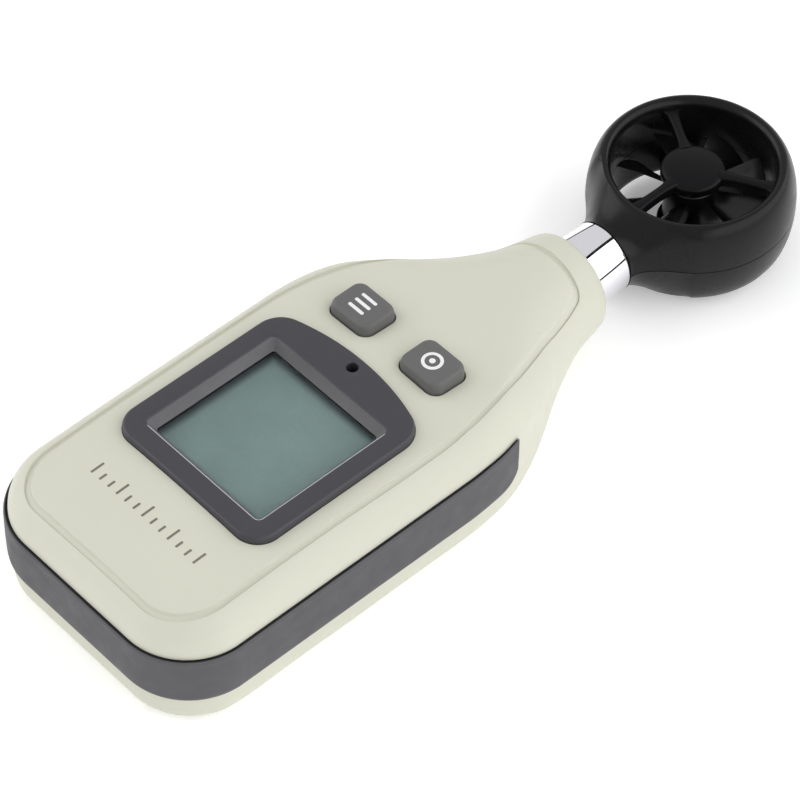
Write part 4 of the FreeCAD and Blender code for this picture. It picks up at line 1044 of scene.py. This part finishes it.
# ====================================================================== materials on the carried nodes
CARRY = {"rear_shell": "cream", "battery_door": "cream", "lcd_panel": "lcd", "lcd_holder": "white", "connector_strips": "rubber", "main_board": "board",
         "controller_chip": "black", "quartz_crystal": "steel", "chip_capacitors": "ceramic", "tact_switches": "black", "board_screws": "steel",
         "temperature_sensor": "black", "lead_socket": "white", "coin_cell": "steel", "battery_tray": "black", "negative_spring_contact": "contact",
         "positive_contact": "contact", "retaining_clip": "steel", "wave_washer": "steel", "neck_bushing": "white",
         "impeller_shaft": "steel", "impeller_magnets": "steel", "front_bearing": "brass", "rear_bearing": "brass", "hall_sensor": "black",
         "sensor_lead": "rubber", "case_screws": "steel"}
for n, k in CARRY.items():
    ob = NODES[n]
    if not ob.material_slots:
        ob.data.materials.append(M[k])
    for sl in ob.material_slots:
        sl.material = M[k]

# ====================================================================== floor, light, camera
fl = bpy.data.meshes.new("floor")
fl.from_pydata([(-3, -3, 0), (3, -3, 0), (3, 3, 0), (-3, 3, 0)], [], [(0, 1, 2, 3)])
floor = bpy.data.objects.new("floor", fl)
bpy.context.scene.collection.objects.link(floor)
fm = bpy.data.materials.new("floor_pale"); fm.use_nodes = True
fb = fm.node_tree.nodes["Principled BSDF"]
fb.inputs["Base Color"].default_value = (0.93, 0.93, 0.93, 1)
fb.inputs["Emission Color"].default_value = (1, 1, 1, 1)
fb.inputs["Emission Strength"].default_value = 0.24
fb.inputs["Roughness"].default_value = 0.75
fb.inputs["Specular IOR Level"].default_value = 0.1
# seen from below the floor lets the view through, so the back can be looked at
fn, fll = fm.node_tree.nodes, fm.node_tree.links
geo = fn.new("ShaderNodeNewGeometry")
clear = fn.new("ShaderNodeBsdfTransparent")
mix = fn.new("ShaderNodeMixShader")
fll.new(geo.outputs["Backfacing"], mix.inputs["Fac"])
fll.new(fb.outputs["BSDF"], mix.inputs[1])
fll.new(clear.outputs["BSDF"], mix.inputs[2])
fll.new(mix.outputs["Shader"], fn["Material Output"].inputs["Surface"])
fl.materials.append(fm)
floor.location.z = -0.00002

def area(name, loc, target, size, power, col=(1, 1, 1)):
    ld = bpy.data.lights.new(name, "AREA")
    ld.shape = "RECTANGLE"; ld.size, ld.size_y = size
    ld.energy = power; ld.color = col
    o = bpy.data.objects.new(name, ld)
    bpy.context.scene.collection.objects.link(o)
    o.location = loc
    d = Vector(target) - Vector(loc)
    o.rotation_euler = d.to_track_quat("-Z", "Y").to_euler()
    return o
area("soft_left", (-0.62, -0.42, 0.42), (0, 0, 0.01), (0.95, 0.7), 3.0)

w = bpy.data.worlds.new("studio"); bpy.context.scene.world = w
w.use_nodes = True
wn, wl = w.node_tree.nodes, w.node_tree.links
bg = wn["Background"]
wt = wn.new("ShaderNodeTexCoord")
sep = wn.new("ShaderNodeSeparateXYZ")
wl.new(wt.outputs["Generated"], sep.inputs["Vector"])

def wmath(op, a, b=None, v=None):
    n = wn.new("ShaderNodeMath"); n.operation = op
    wl.new(a, n.inputs[0])
    if b is not None:
        wl.new(b, n.inputs[1])
    if v is not None:
        n.inputs[1].default_value = v
    return n.outputs[0]

def wstep(src, lo, hi):
    n = wn.new("ShaderNodeMapRange")
    n.inputs["From Min"].default_value = lo
    n.inputs["From Max"].default_value = hi
    wl.new(src, n.inputs["Value"])
    return n.outputs["Result"]

# a tall white diffuser to the right, a grey one over the rest, with a dark joint between them and at the horizon
side = wmath("ADD", wmath("MULTIPLY", sep.outputs["X"], v=0.87), wmath("MULTIPLY", sep.outputs["Y"], v=0.5))
low = wstep(sep.outputs["Z"], 0.075, 0.08)
right_part = wmath("MULTIPLY", wstep(side, 0.435, 0.44), v=1.85)
left_part = wmath("MULTIPLY", wmath("SUBTRACT", wstep(side, -2.0, -1.9), wstep(side, 0.33, 0.335)), v=0.72)
lum = wmath("MULTIPLY", wmath("ADD", right_part, left_part), low)
below = wmath("MULTIPLY", wstep(wmath("MULTIPLY", sep.outputs["Z"], v=-1.0), 0.05, 0.06), v=0.8)
lum = wmath("ADD", lum, below)
lum = wmath("ADD", lum, v=0.02)
wl.new(lum, bg.inputs["Strength"])
bg.inputs["Color"].default_value = (0.985, 0.985, 1.0, 1)

az, el, ro = math.radians(47.075), math.radians(49.322), math.radians(0.562)
right0 = Vector((math.cos(az), math.sin(az), 0))
back = Vector((math.sin(az) * math.cos(el), -math.cos(az) * math.cos(el), math.sin(el)))
up0 = back.cross(right0)
c, s = math.cos(ro), math.sin(ro)
right = right0 * c + up0 * s
up = up0 * c - right0 * s
cd = bpy.data.cameras.new("photo_view")
cd.sensor_width = 36.0
cd.lens = 178.2
cd.clip_start = 0.01
cam = bpy.data.objects.new("photo_view", cd)
bpy.context.scene.collection.objects.link(cam)
cam.matrix_world = Matrix(((right.x, up.x, back.x, 0.24312), (right.y, up.y, back.y, -0.23240), (right.z, up.z, back.z, 0.39323), (0, 0, 0, 1)))
bpy.context.scene.camera = cam
bpy.context.scene.view_settings.view_transform = "Standard"
